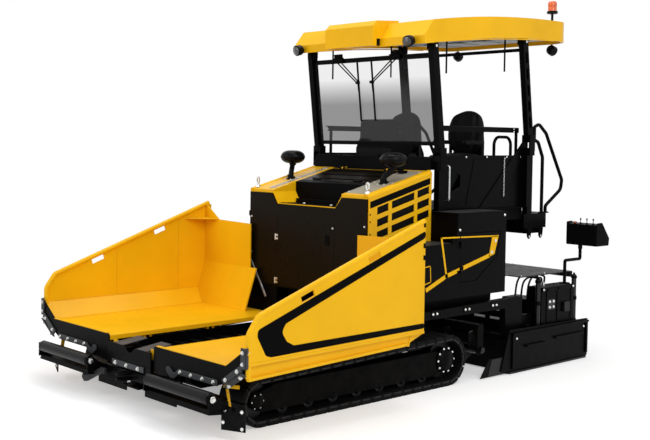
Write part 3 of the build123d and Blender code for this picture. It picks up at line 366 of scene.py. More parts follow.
@dataclass(frozen=True)
class Chequer(Finish):
    """Rolled sheet with raised lozenges in two directions.

    Attributes:
        metallic: 1 for bare metal, 0 for paint.
        rough: Roughness.
        pitch: Distance between lozenges in metres.
        shine: Specular level.
    """

    metallic: float = 0.0
    rough: float = 0.42
    pitch: float = 0.036
    shine: float = 0.08

    def build(self) -> Material:
        """Makes the material."""
        nodes = NodeMaker(self.name)
        turns = 2 * pi / self.pitch
        split = nodes.node("SeparateXYZ", {"Vector": nodes.place})
        across = nodes.math("SINE", nodes.math("MULTIPLY", split.outputs["X"], turns))
        along = nodes.math("SINE", nodes.math("MULTIPLY", split.outputs["Y"], turns))
        relief = nodes.span(nodes.math("MULTIPLY", across, along), 0.15, 0.55)
        cloud = nodes.ramp(nodes.noise(4, 5), self.colour, 0.85, 1.1)
        nodes.set(Base_Color=nodes.mix(relief, cloud, shade(self.colour, 1.3)))
        nodes.set(Roughness=nodes.span(nodes.noise(17, 3), 0.3, 0.7, self.rough - 0.05, self.rough + 0.1))
        nodes.bump(relief, 0.0015)
        nodes.set(Metallic=self.metallic, Specular_IOR_Level=self.shine)
        return nodes.material


@dataclass(frozen=True)
class Glass(Finish):
    """Tinted safety glass with a few smears; where it fades clearer high up, the white background showing
    through is a painted reflection.

    Attributes:
        alpha: How much of it is seen low down.
        clear: How much of it is seen high up; a low value lets the white background through there as a
            painted reflection.
        band: Heights in metres between which the tint fades out into that painted reflection.
    """

    alpha: float = 0.25
    clear: float = 0.25
    band: tuple[float, float] = (0.0, 1.0)

    def build(self) -> Material:
        """Makes the material."""
        nodes = NodeMaker(self.name)
        smear = nodes.noise(5, 6, (1, 1, 0.4))
        nodes.set(Roughness=nodes.span(smear, 0.4, 0.8, 0.02, 0.12))
        nodes.set(Base_Color=nodes.ramp(smear, self.colour, 0.92, 1))
        nodes.set(IOR=1.5)
        # Alpha fades with height: clearer glass high up lets the white background through as a painted
        # reflection.
        nodes.set(Alpha=nodes.span(nodes.height(), *self.band, self.alpha, self.clear))
        return nodes.material


@dataclass(frozen=True)
class Lens(Finish):
    """Clear or coloured moulded lens with fine ribs.

    Attributes:
        glow: Strength of the glow.
        ribs: Ribs to a metre.
    """

    glow: float = 0.0
    ribs: float = 160.0

    def build(self) -> Material:
        """Makes the material."""
        nodes = NodeMaker(self.name)
        turn = nodes.math("SINE", nodes.math("MULTIPLY", nodes.height(), self.ribs * 2 * pi))
        nodes.bump(nodes.span(turn, -1, 1), 0.0008)
        nodes.set(Base_Color=nodes.ramp(nodes.noise(12), self.colour, 0.85, 1))
        nodes.set(Roughness=0.12, Coat_Weight=0.6, Emission_Color=self.colour, Emission_Strength=self.glow)
        return nodes.material


YELLOW = Paint("yellow_enamel", "yellow_paint", (0.91, 0.49, 0.005), 0.32, 0.04, wear=(0.45, 0.36, 0.2),
    dust=0.03, shine=0.12)
YELLOW_FILM = Paint("yellow_film", "yellow_paint", (0.91, 0.49, 0.005), 0.4, 0.0, wear=(0.6, 0.42, 0.1),
    dust=0.0, edge=0.001, shine=0.1)
BLACK = Paint("black_enamel", "black_paint", (0.0016, 0.0016, 0.0018), 0.34, 0.0, wear=(0.03, 0.03, 0.03),
    dust=0.015, shine=0.035)
BLACK_FILM = Paint("black_film", "black_paint", (0.0012, 0.0012, 0.0014), 0.42, 0.0, wear=(0.01, 0.01, 0.01),
    dust=0.0, edge=0.001, shine=0.03)
BLACK_DULL = Paint("black_primer", "black_paint", (0.002, 0.002, 0.002), 0.55, 0.0, wear=(0.03, 0.03, 0.03),
    dust=0.03, shine=0.03)
BROWN_BLACK = Paint("hood_wall_enamel", "black_paint", (0.006, 0.0038, 0.0016), 0.3, 0.0, wear=(0.04, 0.03,
    0.02), dust=0.0, shine=0.06)
STRIP_GREY = Moulded("bolted_strip_rubber", "rubber", (0.055, 0.058, 0.062), 0.42, 260.0, 0.0004, 0.04)
GREY_SHEET = Paint("grey_top_sheet", "grey_sheet", (0.36, 0.325, 0.25), 0.42, 0.0, wear=(0.45, 0.42, 0.36),
    dust=0.0)
DASH_GREY = Paint("dash_panel_grey", "grey_sheet", (0.045, 0.045, 0.045), 0.5, 0.0, wear=(0.1, 0.1, 0.1),
    dust=0.0, edge=0.001, shine=0.2)
PALE_GREY = Paint("roof_lining_grey", "grey_sheet", (0.36, 0.36, 0.35), 0.55, 0.0, dust=0.0)
RUBBER = Moulded("track_rubber", "rubber", (0.0025, 0.0025, 0.0027), 0.62, 240.0, 0.0006, 0.03)
GASKET = Moulded("gasket_rubber", "rubber", (0.003, 0.003, 0.003), 0.6, 600.0, 0.0001, 0.0)
HOSE = Moulded("hose_rubber", "rubber", (0.002, 0.002, 0.002), 0.48, 900.0, 0.00015, 0.0)
PLASTIC = Moulded("black_plastic", "black_plastic", (0.0025, 0.0025, 0.0027), 0.42, 800.0, 0.00015, 0.0)
GLOSS_PLASTIC = Moulded("mirror_shell", "black_plastic", (0.004, 0.004, 0.004), 0.2, 500.0, 0.00003, 0.0)
VINYL = Moulded("seat_vinyl", "seat_vinyl", (0.003, 0.003, 0.0032), 0.5, 520.0, 0.0003, 0.0, 0.02)
FLOOR_MAT = Chequer("floor_mat", "rubber", (0.006, 0.006, 0.006), 0.0, 0.6, 0.02)
VENT_MESH = Chequer("vent_mesh", "black_paint", (0.0015, 0.0015, 0.0015), 0.0, 0.55, 0.012)
ZINC = Metal("zinc_plate", "worn_steel", (0.72, 0.72, 0.7), 0.26, stained=0.1)
CHROME = Metal("chrome", "worn_steel", (0.85, 0.85, 0.85), 0.08, depth=0.00001, stained=0.0)
STEEL = Metal("worn_steel", "worn_steel", (0.03, 0.03, 0.032), 0.36, (1, 1, 1), 90.0, 0.0002, (0.015, 0.014,
    0.012), 0.6)
ROLLER_BLACK = Paint("roller_gloss_black", "worn_steel", (0.003, 0.003, 0.0033), 0.2, 0.12, 0.00004,
    (0.03, 0.03, 0.03), 0.0, shine=0.08)
GALVANISED = Metal("galvanised", "worn_steel", (0.52, 0.53, 0.54), 0.38, (1, 1, 1), 25.0, 0.00004,
    (0.3, 0.3, 0.3), 0.4)
CAST = Metal("cast_iron", "worn_steel", (0.03, 0.03, 0.031), 0.5, (1, 1, 1), 160.0, 0.0004, (0.04, 0.04,
    0.04), 0.4)
# Windscreen: tinted low down and nearly clear from 2.8 m up, so that the white background shows through as a
# painted reflection on the upper glass.
SCREEN_PAINTED_REFLECTION = Glass("windscreen_tint_painted_reflection", "glass", (0.03, 0.031, 0.032), 0.5, 0.08, (2.8, 3.08))
DARK_GLASS = Glass("display_glass", "glass", (0.01, 0.012, 0.014), 1.0, 1.0)
ORANGE = Lens("beacon_lens", "orange_lens", (0.75, 0.12, 0.01), 0.0, 60.0)
LAMP = Lens("lamp_lens", "glass", (0.03, 0.03, 0.03), 0.0, 90.0)
WALKWAY = Chequer("chequer_cover", "grey_sheet", (0.035, 0.035, 0.035), 0.0, 0.45)


class Palette:
    """Builds each finish once and hands it out."""

    made: dict[str, Material] = {}

    @classmethod
    def get(cls, finish: Finish) -> Material:
        """The material of a finish."""
        if finish.name not in cls.made:
            cls.made[finish.name] = finish.build()
        return cls.made[finish.name]


# Meshes.
class Piece:
    """One visible piece: a mesh under construction that ends up as a named object riding on a body."""

    def __init__(self, name: str, finish: Finish, body: str = "machine", slot: str = "",
            flip: bool = False) -> None:
        """Starts an empty piece.

        Args:
            name: Name of the object.
            finish: Finish of its surface.
            body: CAD body that it rides on.
            slot: Material slot of the record, if it isn't the finish's own; not used.
            flip: Whether it is drawn on the left and shown on the right.
        """
        self.name, self.body, self.finish, self.slot, self.flip = name, body, finish, slot, flip
        self.mesh = bmesh.new()

    def prism(self, plane: Plane, outline: Sequence[Flat], low: float, high: float) -> "Piece":
        """Adds an outline extruded between two depths."""
        return self.skin([[self.mesh.verts.new(plane.place(corner, depth)) for corner in outline]
            for depth in (low, high)])

    def block(self, low: Point, high: Point) -> "Piece":
        """Adds a box between two corners; the piece's bevel rounds it."""
        corners = [(low[0], low[1]), (high[0], low[1]), (high[0], high[1]), (low[0], high[1])]
        return self.prism(Plane.TOP, corners, low[2], high[2])

    def blocks(self, *corners: tuple[Point, Point]) -> "Piece":
        """Adds a box for each pair of corners."""
        for low, high in corners:
            self.block(low, high)
        return self

    def each(self, shape: Callable[..., "Piece"], rows: Iterable[tuple]) -> "Piece":
        """Adds a shape for each row of its arguments."""
        for row in rows:
            shape(self, *row)
        return self

    def slab(self, centre: Point, across: Vector, up: Vector, size: Point) -> "Piece":
        """Adds a plate lying square to two directions.

        Args:
            centre: Its middle.
            across: Direction of its width.
            up: Direction of its height, roughly square to across.
            size: Width, height and thickness.

        Returns:
            The piece.
        """
        first = across.normalized()
        normal = first.cross(up).normalized()
        second = normal.cross(first)
        corners = ((-0.5, -0.5), (0.5, -0.5), (0.5, 0.5), (-0.5, 0.5))
        return self.skin([[self.mesh.verts.new(Vector(centre) + first * a * size[0] + second * b * size[1]
            + normal * level * size[2]) for a, b in corners] for level in (-0.5, 0.5)])

    def skin(self, loops: Sequence[Sequence[bmesh.types.BMVert]], closed: bool = False) -> "Piece":
        """Joins rings of equal size.

        Args:
            loops: Vertices of each ring.
            closed: Whether the last ring joins the first; otherwise both ends are flat.

        Returns:
            The piece.
        """
        if not closed:
            self.mesh.faces.new(list(reversed(loops[0])))
            self.mesh.faces.new(loops[-1])
        for first, second in zip(loops, loops[1:] + loops[:1] if closed else loops[1:]):
            count = len(first)
            for index in range(count):
                after = (index + 1) % count
                self.mesh.faces.new((first[index], first[after], second[after], second[index]))
        return self

    def turned(self, start: Point, end: Point, profile: Sequence[Flat], sides: int = 24) -> "Piece":
        """Adds a turned form along an axis.

        Args:
            start: Where the axis starts.
            end: Where the axis ends.
            profile: (share of the axis, radius) of each ring.
            sides: Facets round the axis.

        Returns:
            The piece.
        """
        begin, along = Vector(start), Vector(end) - Vector(start)
        turn = along.to_track_quat("Z", "Y")
        loops = [[self.mesh.verts.new(begin + along * share + turn @ Vector((*spot, 0)))
            for spot in circle(radius, sides)] for share, radius in profile]
        return self.skin(loops)

    def puck(self, start: Point, end: Point, radius: float, tip: float, shoulder: float = 0.7,
            sides: int = 24) -> "Piece":
        """Adds a round boss with a chamfer.

        Args:
            start: Middle of its seat.
            end: Middle of its free end.
            radius: Radius up to the shoulder.
            tip: Radius at the free end.
            shoulder: Share of its length where the chamfer starts.
            sides: Facets round the axis.

        Returns:
            The piece.
        """
        return self.turned(start, end, ((0, radius), (shoulder, radius), (1, tip)), sides)

    def collar(self, start: Point, end: Point, radius: float, rim: float, sides: int = 24) -> "Piece":
        """Adds a round band with a full radius and a smaller one at both rims."""
        return self.turned(start, end, ((0, rim), (0.2, radius), (0.8, radius), (1, rim)), sides)

    def rod(self, start: Point, end: Point, radius: float, sides: int = 20) -> "Piece":
        """Adds a round bar with slightly broken ends.

        Args:
            start: Middle of one end.
            end: Middle of the other end.
            radius: Half its thickness.
            sides: Facets round the axis.

        Returns:
            The piece.
        """
        length = (Vector(end) - Vector(start)).length
        lip = min(0.15 * radius / max(length, 1e-06), 0.2)
        return self.turned(start, end, ((0, radius * 0.85), (lip, radius), (1 - lip, radius),
            (1, radius * 0.85)), sides)

    def bolt(self, seat: Point, normal: Sequence[float], radius: float = 0.012) -> "Piece":
        """Adds a hexagon bolt head on its washer.

        Args:
            seat: Point of the surface it is screwed into.
            normal: Direction that the head points.
            radius: Across the head's corners, halved.

        Returns:
            The piece.
        """
        out = Vector(normal).normalized()
        foot = Vector(seat)
        washer = foot + out * radius * 0.28
        self.turned(foot, washer, ((0, radius * 1.35), (0.8, radius * 1.35), (1, radius * 1.28)), 16)
        head = washer + out * radius * 0.75
        self.turned(washer, head, ((0, radius), (0.82, radius), (1, radius * 0.84)), 6)
        return self

    def bolts(self, seats: Iterable[Point], normal: Sequence[float], radius: float = 0.012) -> "Piece":
        """Adds a bolt at each seat."""
        for seat in seats:
            self.bolt(seat, normal, radius)
        return self

    def done(self, bevel: float = 0.0, smooth: float = 35.0, levels: int = 0) -> Thing:
        """Turns the mesh into an object that rides on its body.

        Args:
            bevel: Width of the rounding on every sharp edge, in metres.
            smooth: Edges sharper than this many degrees stay sharp.
            levels: Levels of subdivision.

        Returns:
            The object.
        """
        if self.flip:
            bmesh.ops.scale(self.mesh, vec=(-1, 1, 1), verts=self.mesh.verts)
        bmesh.ops.recalc_face_normals(self.mesh, faces=self.mesh.faces)
        data = bpy.data.meshes.new(self.name)
        self.mesh.to_mesh(data)
        self.mesh.free()
        data.polygons.foreach_set("use_smooth", [True] * len(data.polygons))
        data.set_sharp_from_angle(angle=radians(smooth))
        thing = settle(data, self.name, self.body, self.finish)
        if bevel:
            rounding = thing.modifiers.new("rounding", "BEVEL")
            rounding.width = bevel
            rounding.segments = 2
            rounding.limit_method = "ANGLE"
            rounding.angle_limit = radians(smooth)
        if levels:
            division = thing.modifiers.new("division", "SUBSURF")
            division.levels = division.render_levels = levels
        return thing


def settle(data: bpy.types.ID, name: str, body: str, finish: Finish) -> Thing:
    """Makes an object of a mesh or a curve, dresses it and lets it ride.

    Args:
        data: The mesh or curve, in the machine's frame.
        name: Name of the object.
        body: CAD body that it rides on.
        finish: Finish of its surface.

    Returns:
        The object.
    """
    thing = bpy.data.objects.new(name, data)
    bpy.context.scene.collection.objects.link(thing)
    data.materials.append(Palette.get(finish))
    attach(thing, body)
    return thing


class Assembly:
    """Base of the sub-assemblies: builds its parts in the order that the class names them in."""

    steps: ClassVar[tuple[str, ...]] = ()

    def build(self) -> None:
        """Calls every step."""
        for step in self.steps:
            getattr(self, step)()


@dataclass
class SidePart(Assembly):
    """Base of what is made once for each side: drawn on the left and mirrored to the right."""

    side: Side
    home: ClassVar[str] = "machine"

    def named(self, stem: str) -> str:
        """The name of a body or node of this side, where the stem ends with an underscore."""
        return stem + self.side.label if stem.endswith("_") else stem

    def piece(self, stem: str, finish: Finish, body: str = "", slot: str = "") -> Piece:
        """An empty piece of this side.

        Args:
            stem: Its name without the side.
            finish: Finish of its surface.
            body: CAD body that it rides on, if not the home one; an ending underscore stands for the side.
            slot: Material slot of the record, if it isn't the finish's own; not used.

        Returns:
            The piece.
        """
        body = self.named(body or self.home)
        return Piece(self.named(stem + "_"), finish, body, slot, self.side is Side.RIGHT)

    def pipe(self, stem: str, finish: Finish, points: Sequence[Point], radius: float, bend: float = 0.0,
            sides: int = 6, mark: str = "") -> Thing:
        """A bent tube along a few corners.

        Args:
            stem: Its name without the side.
            finish: Finish of its surface.
            points: Corners of the tube's centre line.
            radius: Half its thickness.
            bend: Radius of the bends, 0 for a free curve through the corners.
            sides: Resolution of its section.
            mark: What follows the side in its name.

        Returns:
            The object.
        """
        name = self.named(stem + "_") + mark
        data = bpy.data.curves.new(name, "CURVE")
        data.dimensions = "3D"
        data.bevel_depth = radius
        data.bevel_resolution = sides
        data.use_fill_caps = True
        line = [Vector((self.side.x(point[0]), *point[1:])) for point in points]
        if bend:
            line = list(round_corners(line, bend))
        spline = data.splines.new("POLY" if bend else "NURBS")
        spline.points.add(len(line) - 1)
        for knot, place in zip(spline.points, line):
            knot.co = (*place, 1)
        if not bend:
            spline.order_u = 3
            spline.use_endpoint_u = True
            spline.resolution_u = 8
        spline.use_smooth = True
        return settle(data, name, self.named(self.home), finish)


def round_corners(corners: Sequence[Vector], bend: float, steps: int = 6) -> Iterable[Vector]:
    """The points of a bent tube's centre line: straight runs with an arc at each corner.

    Args:
        corners: Corners of the line.
        bend: Radius of each arc, less where the runs are short.
        steps: Chords in an arc.

    Returns:
        The points in order.
    """
    yield corners[0]
    for before, corner, after in zip(corners, corners[1:], corners[2:]):
        arriving, leaving = corner - before, after - corner
        turn = arriving.angle(leaving)
        if turn < 1e-3:
            yield corner
            continue
        reach = min(bend * tan(turn / 2), arriving.length * 0.48, leaving.length * 0.48)
        start = corner - arriving.normalized() * reach
        end = corner + leaving.normalized() * reach
        for step in range(steps + 1):
            t = step / steps
            yield (start * (1 - t) ** 2 + corner * 2 * t * (1 - t) + end * t ** 2)
    yield corners[-1]


def softened(corners: Sequence[Flat], radius: float, steps: int = 5) -> list[Flat]:
    """A closed outline with every corner rounded.

    Args:
        corners: The outline's corners in order.
        radius: Radius of the corners, less where an edge is short.
        steps: Chords in a corner.

    Returns:
        The rounded outline.
    """
    outline = []
    for index, corner in enumerate(corners):
        before = Vector(corners[index - 1])
        here = Vector(corner)
        after = Vector(corners[(index + 1) % len(corners)])
        arriving, leaving = here - before, after - here
        turn = abs(arriving.angle_signed(leaving))
        reach = min(radius * tan(turn / 2), arriving.length * 0.45, leaving.length * 0.45)
        start, end = here - arriving.normalized() * reach, here + leaving.normalized() * reach
        for step in range(steps + 1):
            t = step / steps
            outline.append(tuple(start * (1 - t) ** 2 + here * 2 * t * (1 - t) + end * t ** 2))
    return outline


def circle(radius: float, count: int, start: float = 0.0) -> list[Flat]:
    """Points spaced evenly round a circle."""
    angles = (start + 2 * pi * step / count for step in range(count))
    return [(radius * cos(angle), radius * sin(angle)) for angle in angles]


def bulge(first: float, second: float) -> float:
    """How much of a cube's axis is left where the cube is rounded into a ball."""
    first, second = first * first, second * second
    return sqrt(max(1 - first / 2 - second / 2 + first * second / 3, 0))


def between(first: Flat, second: Flat, share: float) -> Flat:
    """A point on the way from one flat point to another."""
    return (first[0] + (second[0] - first[0]) * share, first[1] + (second[1] - first[1]) * share)


def dress(finish: Finish, *nodes: str) -> None:
    """Gives CAD nodes a finish.

    Args:
        finish: The finish.
        nodes: Names of the nodes.
    """
    for node in nodes:
        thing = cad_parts[node]
        thing.data.materials.clear()
        thing.data.materials.append(Palette.get(finish))


def pair(node: str) -> tuple[str, str]:
    """The left and right node of a name."""
    return tuple(f"{node}_{side.label}" for side in Side)


# Studio.
@dataclass
class Studio:
    """Pale floor, white background, soft lamps and the camera."""

    place: Point = (7.751, -7.763, 2.386)
    heading: float = 139.136
    pitch: float = -2.20
    roll: float = 0.768
    lens: float = 57.59
    shift: Flat = (0.0873, -0.0592)
    floor_colour: Colour = (0.8, 0.8, 0.8)
    floor_glow: float = 0.38

    def build(self) -> None:
        """Makes the whole studio."""
        bpy.context.scene.view_settings.view_transform = "Standard"
        self.camera()
        self.world()
        self.floor()
        self.lamps()

    def camera(self) -> None:
        """The camera, level with the operator's seat and off the left front corner."""
        data = bpy.data.cameras.new("camera")
        data.lens = self.lens
        data.sensor_width = 36
        data.shift_x, data.shift_y = self.shift
        data.clip_end = 200
        camera = bpy.data.objects.new("camera", data)
        camera.matrix_world = Matrix.Translation(self.place)
        for angle, axis in ((self.heading - 90, "Z"), (self.pitch + 90, "X"), (self.roll, "Z")):
            camera.matrix_world @= Matrix.Rotation(radians(angle), 4, axis)
        bpy.context.scene.collection.objects.link(camera)
        bpy.context.scene.camera = camera

    def white_rays(self, nodes: Nodes) -> Socket:
        """One where a ray comes from the camera, a mirror or glass, so that each shows a white background."""
        path = nodes.node("LightPath").outputs
        seen = nodes.math("MAXIMUM", path["Is Camera Ray"], path["Is Glossy Ray"])
        return nodes.math("MAXIMUM", seen, path["Is Transmission Ray"])

    def world(self) -> None:
        """A white surround for the eye and a softer one for the light."""
        world = bpy.data.worlds.new("studio")
        bpy.context.scene.world = world
        world.use_nodes = True
        nodes = Nodes(world.node_tree)
        light = nodes.tree.nodes["Background"]
        nodes.feed(light, {"Color": (1, 1, 1), "Strength": 0.52})
        white = nodes.node("Background", {"Color": (1, 1, 1), "Strength": 1})
        mix = nodes.node("MixShader", {0: self.white_rays(nodes), 1: light.outputs[0], 2: white.outputs[0]})
        nodes.link(mix.outputs[0], nodes.tree.nodes["World Output"].inputs["Surface"])

    def floor(self) -> None:
        """A floor that takes the machine's shadow and melts into the white background a few metres out."""
        data = bpy.data.meshes.new("studio_floor")
        shape = bmesh.new()
        bmesh.ops.create_grid(shape, x_segments=2, y_segments=2, size=60)
        shape.to_mesh(data)
        shape.free()
        floor = bpy.data.objects.new("studio_floor", data)
        bpy.context.scene.collection.objects.link(floor)
        nodes = NodeMaker("studio_floor")
        nodes.set(Base_Color=self.floor_colour, Roughness=0.9, Specular_IOR_Level=0.1)
        white_rays = self.white_rays(nodes)
        glow = nodes.node("Emission", {"Strength": nodes.math("MULTIPLY", white_rays, self.floor_glow)})
        lit = nodes.node("AddShader", {0: nodes.shader.outputs[0], 1: glow.outputs[0]})
        distance = nodes.node("VectorMath", {0: nodes.place}, operation="LENGTH")
        far = nodes.span(distance.outputs["Value"], 3.6, 7.5)
        melt = nodes.node("MixShader", {0: nodes.math("MULTIPLY", far, white_rays), 1: lit.outputs[0],
            2: nodes.node("Emission").outputs[0]})
        nodes.link(melt.outputs[0], nodes.tree.nodes["Material Output"].inputs["Surface"])
        data.materials.append(nodes.material)

    def lamps(self) -> None:
        """One large soft key high on the camera's side, one fill and one top lamp."""
        for name, place, size, power in (("key", (9.0, -3.0, 7.5), 6.0, 440.0), ("fill", (-3.5, -9.5, 5.0),
                5.0, 230.0), ("top", (0.0, 1.0, 9.5), 6.0, 330.0)):
            data = bpy.data.lights.new(name, "AREA")
            data.size = size
            data.energy = power
            lamp = bpy.data.objects.new(name, data)
            lamp.location = place
            lamp.rotation_euler = (Z * 1.4 - Vector(place)).to_track_quat("-Z", "Y").to_euler()
            bpy.context.scene.collection.objects.link(lamp)


# Sub-assemblies.
class Bodywork:
    """Finishes of the CAD nodes that are shown as they are."""

    def build(self) -> None:
        """Dresses every CAD node."""
        dress(YELLOW, "hood", "roof_shell", *pair("hopper_wing"))
        dress(BLACK, "chassis_frame", "hopper_nose", "push_beam", "bulkhead", "platform_panels",
            "guard_rails", "access_handrails", "rear_deck", "front_posts", "rear_posts", "roof_frame",
            "screed_base", "tow_arms", *pair("side_body"), *pair("side_door"), *pair("screed_extension"),
            *pair("end_plate"), *pair("wing_apron"))
        dress(BLACK_DULL, "platform_floor", "auger_carriage", *pair("track_frame"), *pair("hopper_cylinder"))
        dress(BROWN_BLACK, "hood_front_wall", "hood_lid")
        dress(RUBBER, *pair("track"))
        dress(STEEL, "conveyor", *pair("track_wheels"), *pair("auger"))
        dress(ROLLER_BLACK, *pair("push_roller"))
        dress(CHROME, *pair("hopper_rod"))
        dress(CAST, "engine_block")
        dress(WALKWAY, "screed_walkway")
        dress(SCREEN_PAINTED_REFLECTION, "windscreen")
        dress(PLASTIC, "console", "steering_wheel", "roof_lamps", *pair("remote_panel"))
        dress(GLOSS_PLASTIC, "mirrors")
        dress(VINYL, *pair("seat"))
        dress(ORANGE, "beacon")


@dataclass
class HopperWing(SidePart):
    """Stripe, clips, strips and edge details of a hopper wing."""

    home = "hopper_wing_"
    sheet: float = 1.615
    rear: float = -0.57
    apron_front: float = -2.654
    clip_heights: tuple[float, ...] = (1.655, 1.467, 1.359)
    strip_bolts: tuple[float, ...] = (0.77, 0.92, 1.075, 1.22)
    steps = ("stripe", "clips", "front_strips", "corner_strips", "inner_seams", "flap")

    def stripe(self) -> None:
        """The black band that runs under the ridge, round the front and back along the foot."""
        band = softened(((self.rear, 1.601), (-2.54, 0.915), (-2.545, 0.86), (-2.455, 0.7), (-2.4, 0.684),
            (self.rear, 0.717), (self.rear, 0.764), (-2.16, 0.751), (-2.235, 0.79), (-2.29, 0.87),
            (-2.25, 0.935), (self.rear, 1.537)), 0.05)
        self.piece("wing_stripe", BLACK_FILM).prism(Plane.SIDE, band, self.sheet, self.sheet + 0.0012).done()

    def clips(self) -> None:
        """The row of black clips down the sheet's rear edge."""
        self.piece("wing_clips", BLACK_DULL).each(Piece.prism,
            ((Plane.SIDE, softened(((self.rear - 0.026, height - 0.022), (self.rear, height - 0.022),
            (self.rear, height + 0.022), (self.rear - 0.026, height + 0.022)), 0.005), self.sheet,
            self.sheet + 0.003) for height in self.clip_heights)).done(0.0006)

    def front_strips(self) -> None:
        """The curved wear strip along the foot of the apron, with its bolts."""
        front = self.apron_front
        outline = softened(((0.562, 0.468), (0.606, 0.472), (0.655, 0.432), (0.685, 0.432), (0.74, 0.474),
            (1.262, 0.476), (1.262, 0.426), (0.74, 0.425), (0.68, 0.38), (0.625, 0.38), (0.566, 0.424)), 0.02)
        self.piece("apron_strip", STRIP_GREY).prism(Plane.FRONT, outline, front - 0.014, front).done(0.003)
        self.piece("apron_strip_bolts", ZINC).bolts(((across, front - 0.0142, 0.45)
            for across in self.strip_bolts), -Y, 0.014).done()
        self.piece("apron_edge", YELLOW).prism(Plane.FRONT, ((0.4, 0.6055), (1.362, 0.6055), (1.362, 0.613),
            (0.4, 0.613)), front - 0.001, front + 0.03).done(0.001)

    def corner_strips(self) -> None:
        """The bolted plates up the corner and down the slanted foot of the apron."""
        plates = self.piece("corner_plates", STRIP_GREY)
        front = self.apron_front
        plates.slab((1.583, front - 0.008, 0.7), X, Z, (0.05, 0.165, 0.012))
        plates.slab((1.609, -2.628, 0.7), Y, Z, (0.052, 0.165, 0.011))
        slant = Vector((0.3, 0, 0.195)).normalized()
        middle = Vector((1.452, front - 0.008, 0.546))
        plates.slab(middle, slant, (-Y).cross(slant), (0.27, 0.052, 0.012))
        drop = Vector((0.03, 0.004, -0.042))
        plates.slab(middle + drop, slant, Vector((0.25, 0.75, -0.5)), (0.26, 0.045, 0.012)).done(0.0025)
        bolts = self.piece("corner_plate_bolts", ZINC)
        for height in (0.655, 0.745):
            bolts.bolt((1.583, front - 0.0145, height), -Y, 0.012).bolt((1.6145, -2.626, height), X, 0.005)
        for step in (-0.09, 0.08):
            bolts.bolt(middle + slant * step + Vector((0, -0.0065, 0)), -Y, 0.013)
        for step in (-0.085, 0.085):
            bolts.bolt(middle + drop + slant * step + Vector((0.004, -0.006, -0.004)), (0.45, -0.62, -0.55),
                0.013)
        bolts.done()

    def inner_seams(self) -> None:
        """Weld beads and folds that break up the wing's inner sheet."""
        beads = self.piece("wing_beads", YELLOW)
        for along in (-0.98, -1.78):
            top = 1.685 + (along + 0.57) * 0.339 - 0.05
            beads.rod((1.5995, along, 0.76), (1.5995, along, top), 0.004, 8)
        beads.rod((1.5985, -2.5, 0.744), (1.5985, -0.62, 0.744), 0.005, 8).rod((1.442, -2.6, 0.587),
            (1.442, -0.6, 0.587), 0.004, 8).done()
        self.piece("wing_lip", YELLOW).block((0.369, -2.64, 0.545), (0.374, -0.6, 0.585)).done(0.001)

    def flap(self) -> None:
        """The black guard plate that the push beam's end holds in front of the track."""
        body = "push_beam"
        facing = Vector((0.42, -0.9, 0.05)).normalized()
        across = Vector((0.9, 0.42, 0)).normalized()
        centre = Vector((1.4, -2.6, 0.175))
        self.piece("corner_flap", RUBBER, body).slab(centre, across, Z, (0.215, 0.185, 0.012)).done(0.002)
        self.piece("corner_flap_bolts", ZINC, body).bolts((centre + across * along + Z * up + facing * 0.0062
            for along, up in ((-0.075, 0.068), (0.075, 0.068), (0.078, -0.068), (-0.09, -0.03))), facing,
            0.011).done()
        self.piece("corner_flap_arm", BLACK, body).block((1.27, -2.612, 0.236), (1.42, -2.6,
            0.272)).done(0.002)
        self.piece("corner_hook", YELLOW, body).slab(centre + Vector((-0.085, 0.012, 0.175)),
            Vector((0.25, 0, -1)), facing, (0.19, 0.035, 0.01)).slab(centre + Vector((-0.045, 0.012, 0.255)),
            across, Z, (0.14, 0.03, 0.01)).done(0.002)


@dataclass
class NoseCover(SidePart):
    """Deflector and side plate beside the nose."""

    def build(self) -> None:
        """Dresses one side of the nose."""
        self.piece("nose_cover", STRIP_GREY, slot="black_paint").slab((0.185, -2.53, 0.556), X,
            Vector((0, 1, 0.12)), (0.15, 0.27, 0.008)).slab((0.262, -2.53, 0.522), Vector((0, 1, 0.12)), Z,
            (0.27, 0.066, 0.008)).done(0.0015)
        self.piece("nose_side", YELLOW).block((0.266, -2.62, 0.36), (0.335, -2.612, 0.56)).done(0.0015)


@dataclass
class NoseTrim:
    """Strip and bolts on the nose between the wings, and the towing hook and its pin."""

    front: float = -2.676

    def build(self) -> None:
        """Dresses the nose."""
        Piece("nose_strip", STRIP_GREY).block((-0.25, self.front - 0.014, 0.352), (0.25, self.front,
            0.402)).done(0.003)
        Piece("nose_strip_bolts", ZINC).bolts(((across, self.front - 0.0142, 0.377) for across in (-0.19,
            -0.01, 0.17)), -Y, 0.014).done()
        Piece("towing_hook", CAST, "push_beam", "black_paint").prism(Plane.FRONT, softened(((-0.27, 0.262),
            (-0.27, 0.312), (-0.34, 0.312), (-0.6, 0.198), (-0.655, 0.205), (-0.668, 0.165), (-0.63, 0.132),
            (-0.585, 0.14), (-0.4, 0.228), (-0.33, 0.262)), 0.012), -2.755, -2.725).done(0.004)
        Piece("towing_pin", ZINC, "push_beam").rod((0, -2.605, 0.352), (0, -2.605, 0.366), 0.034).rod((0,
            -2.605, 0.366), (0, -2.605, 0.38), 0.02).done()


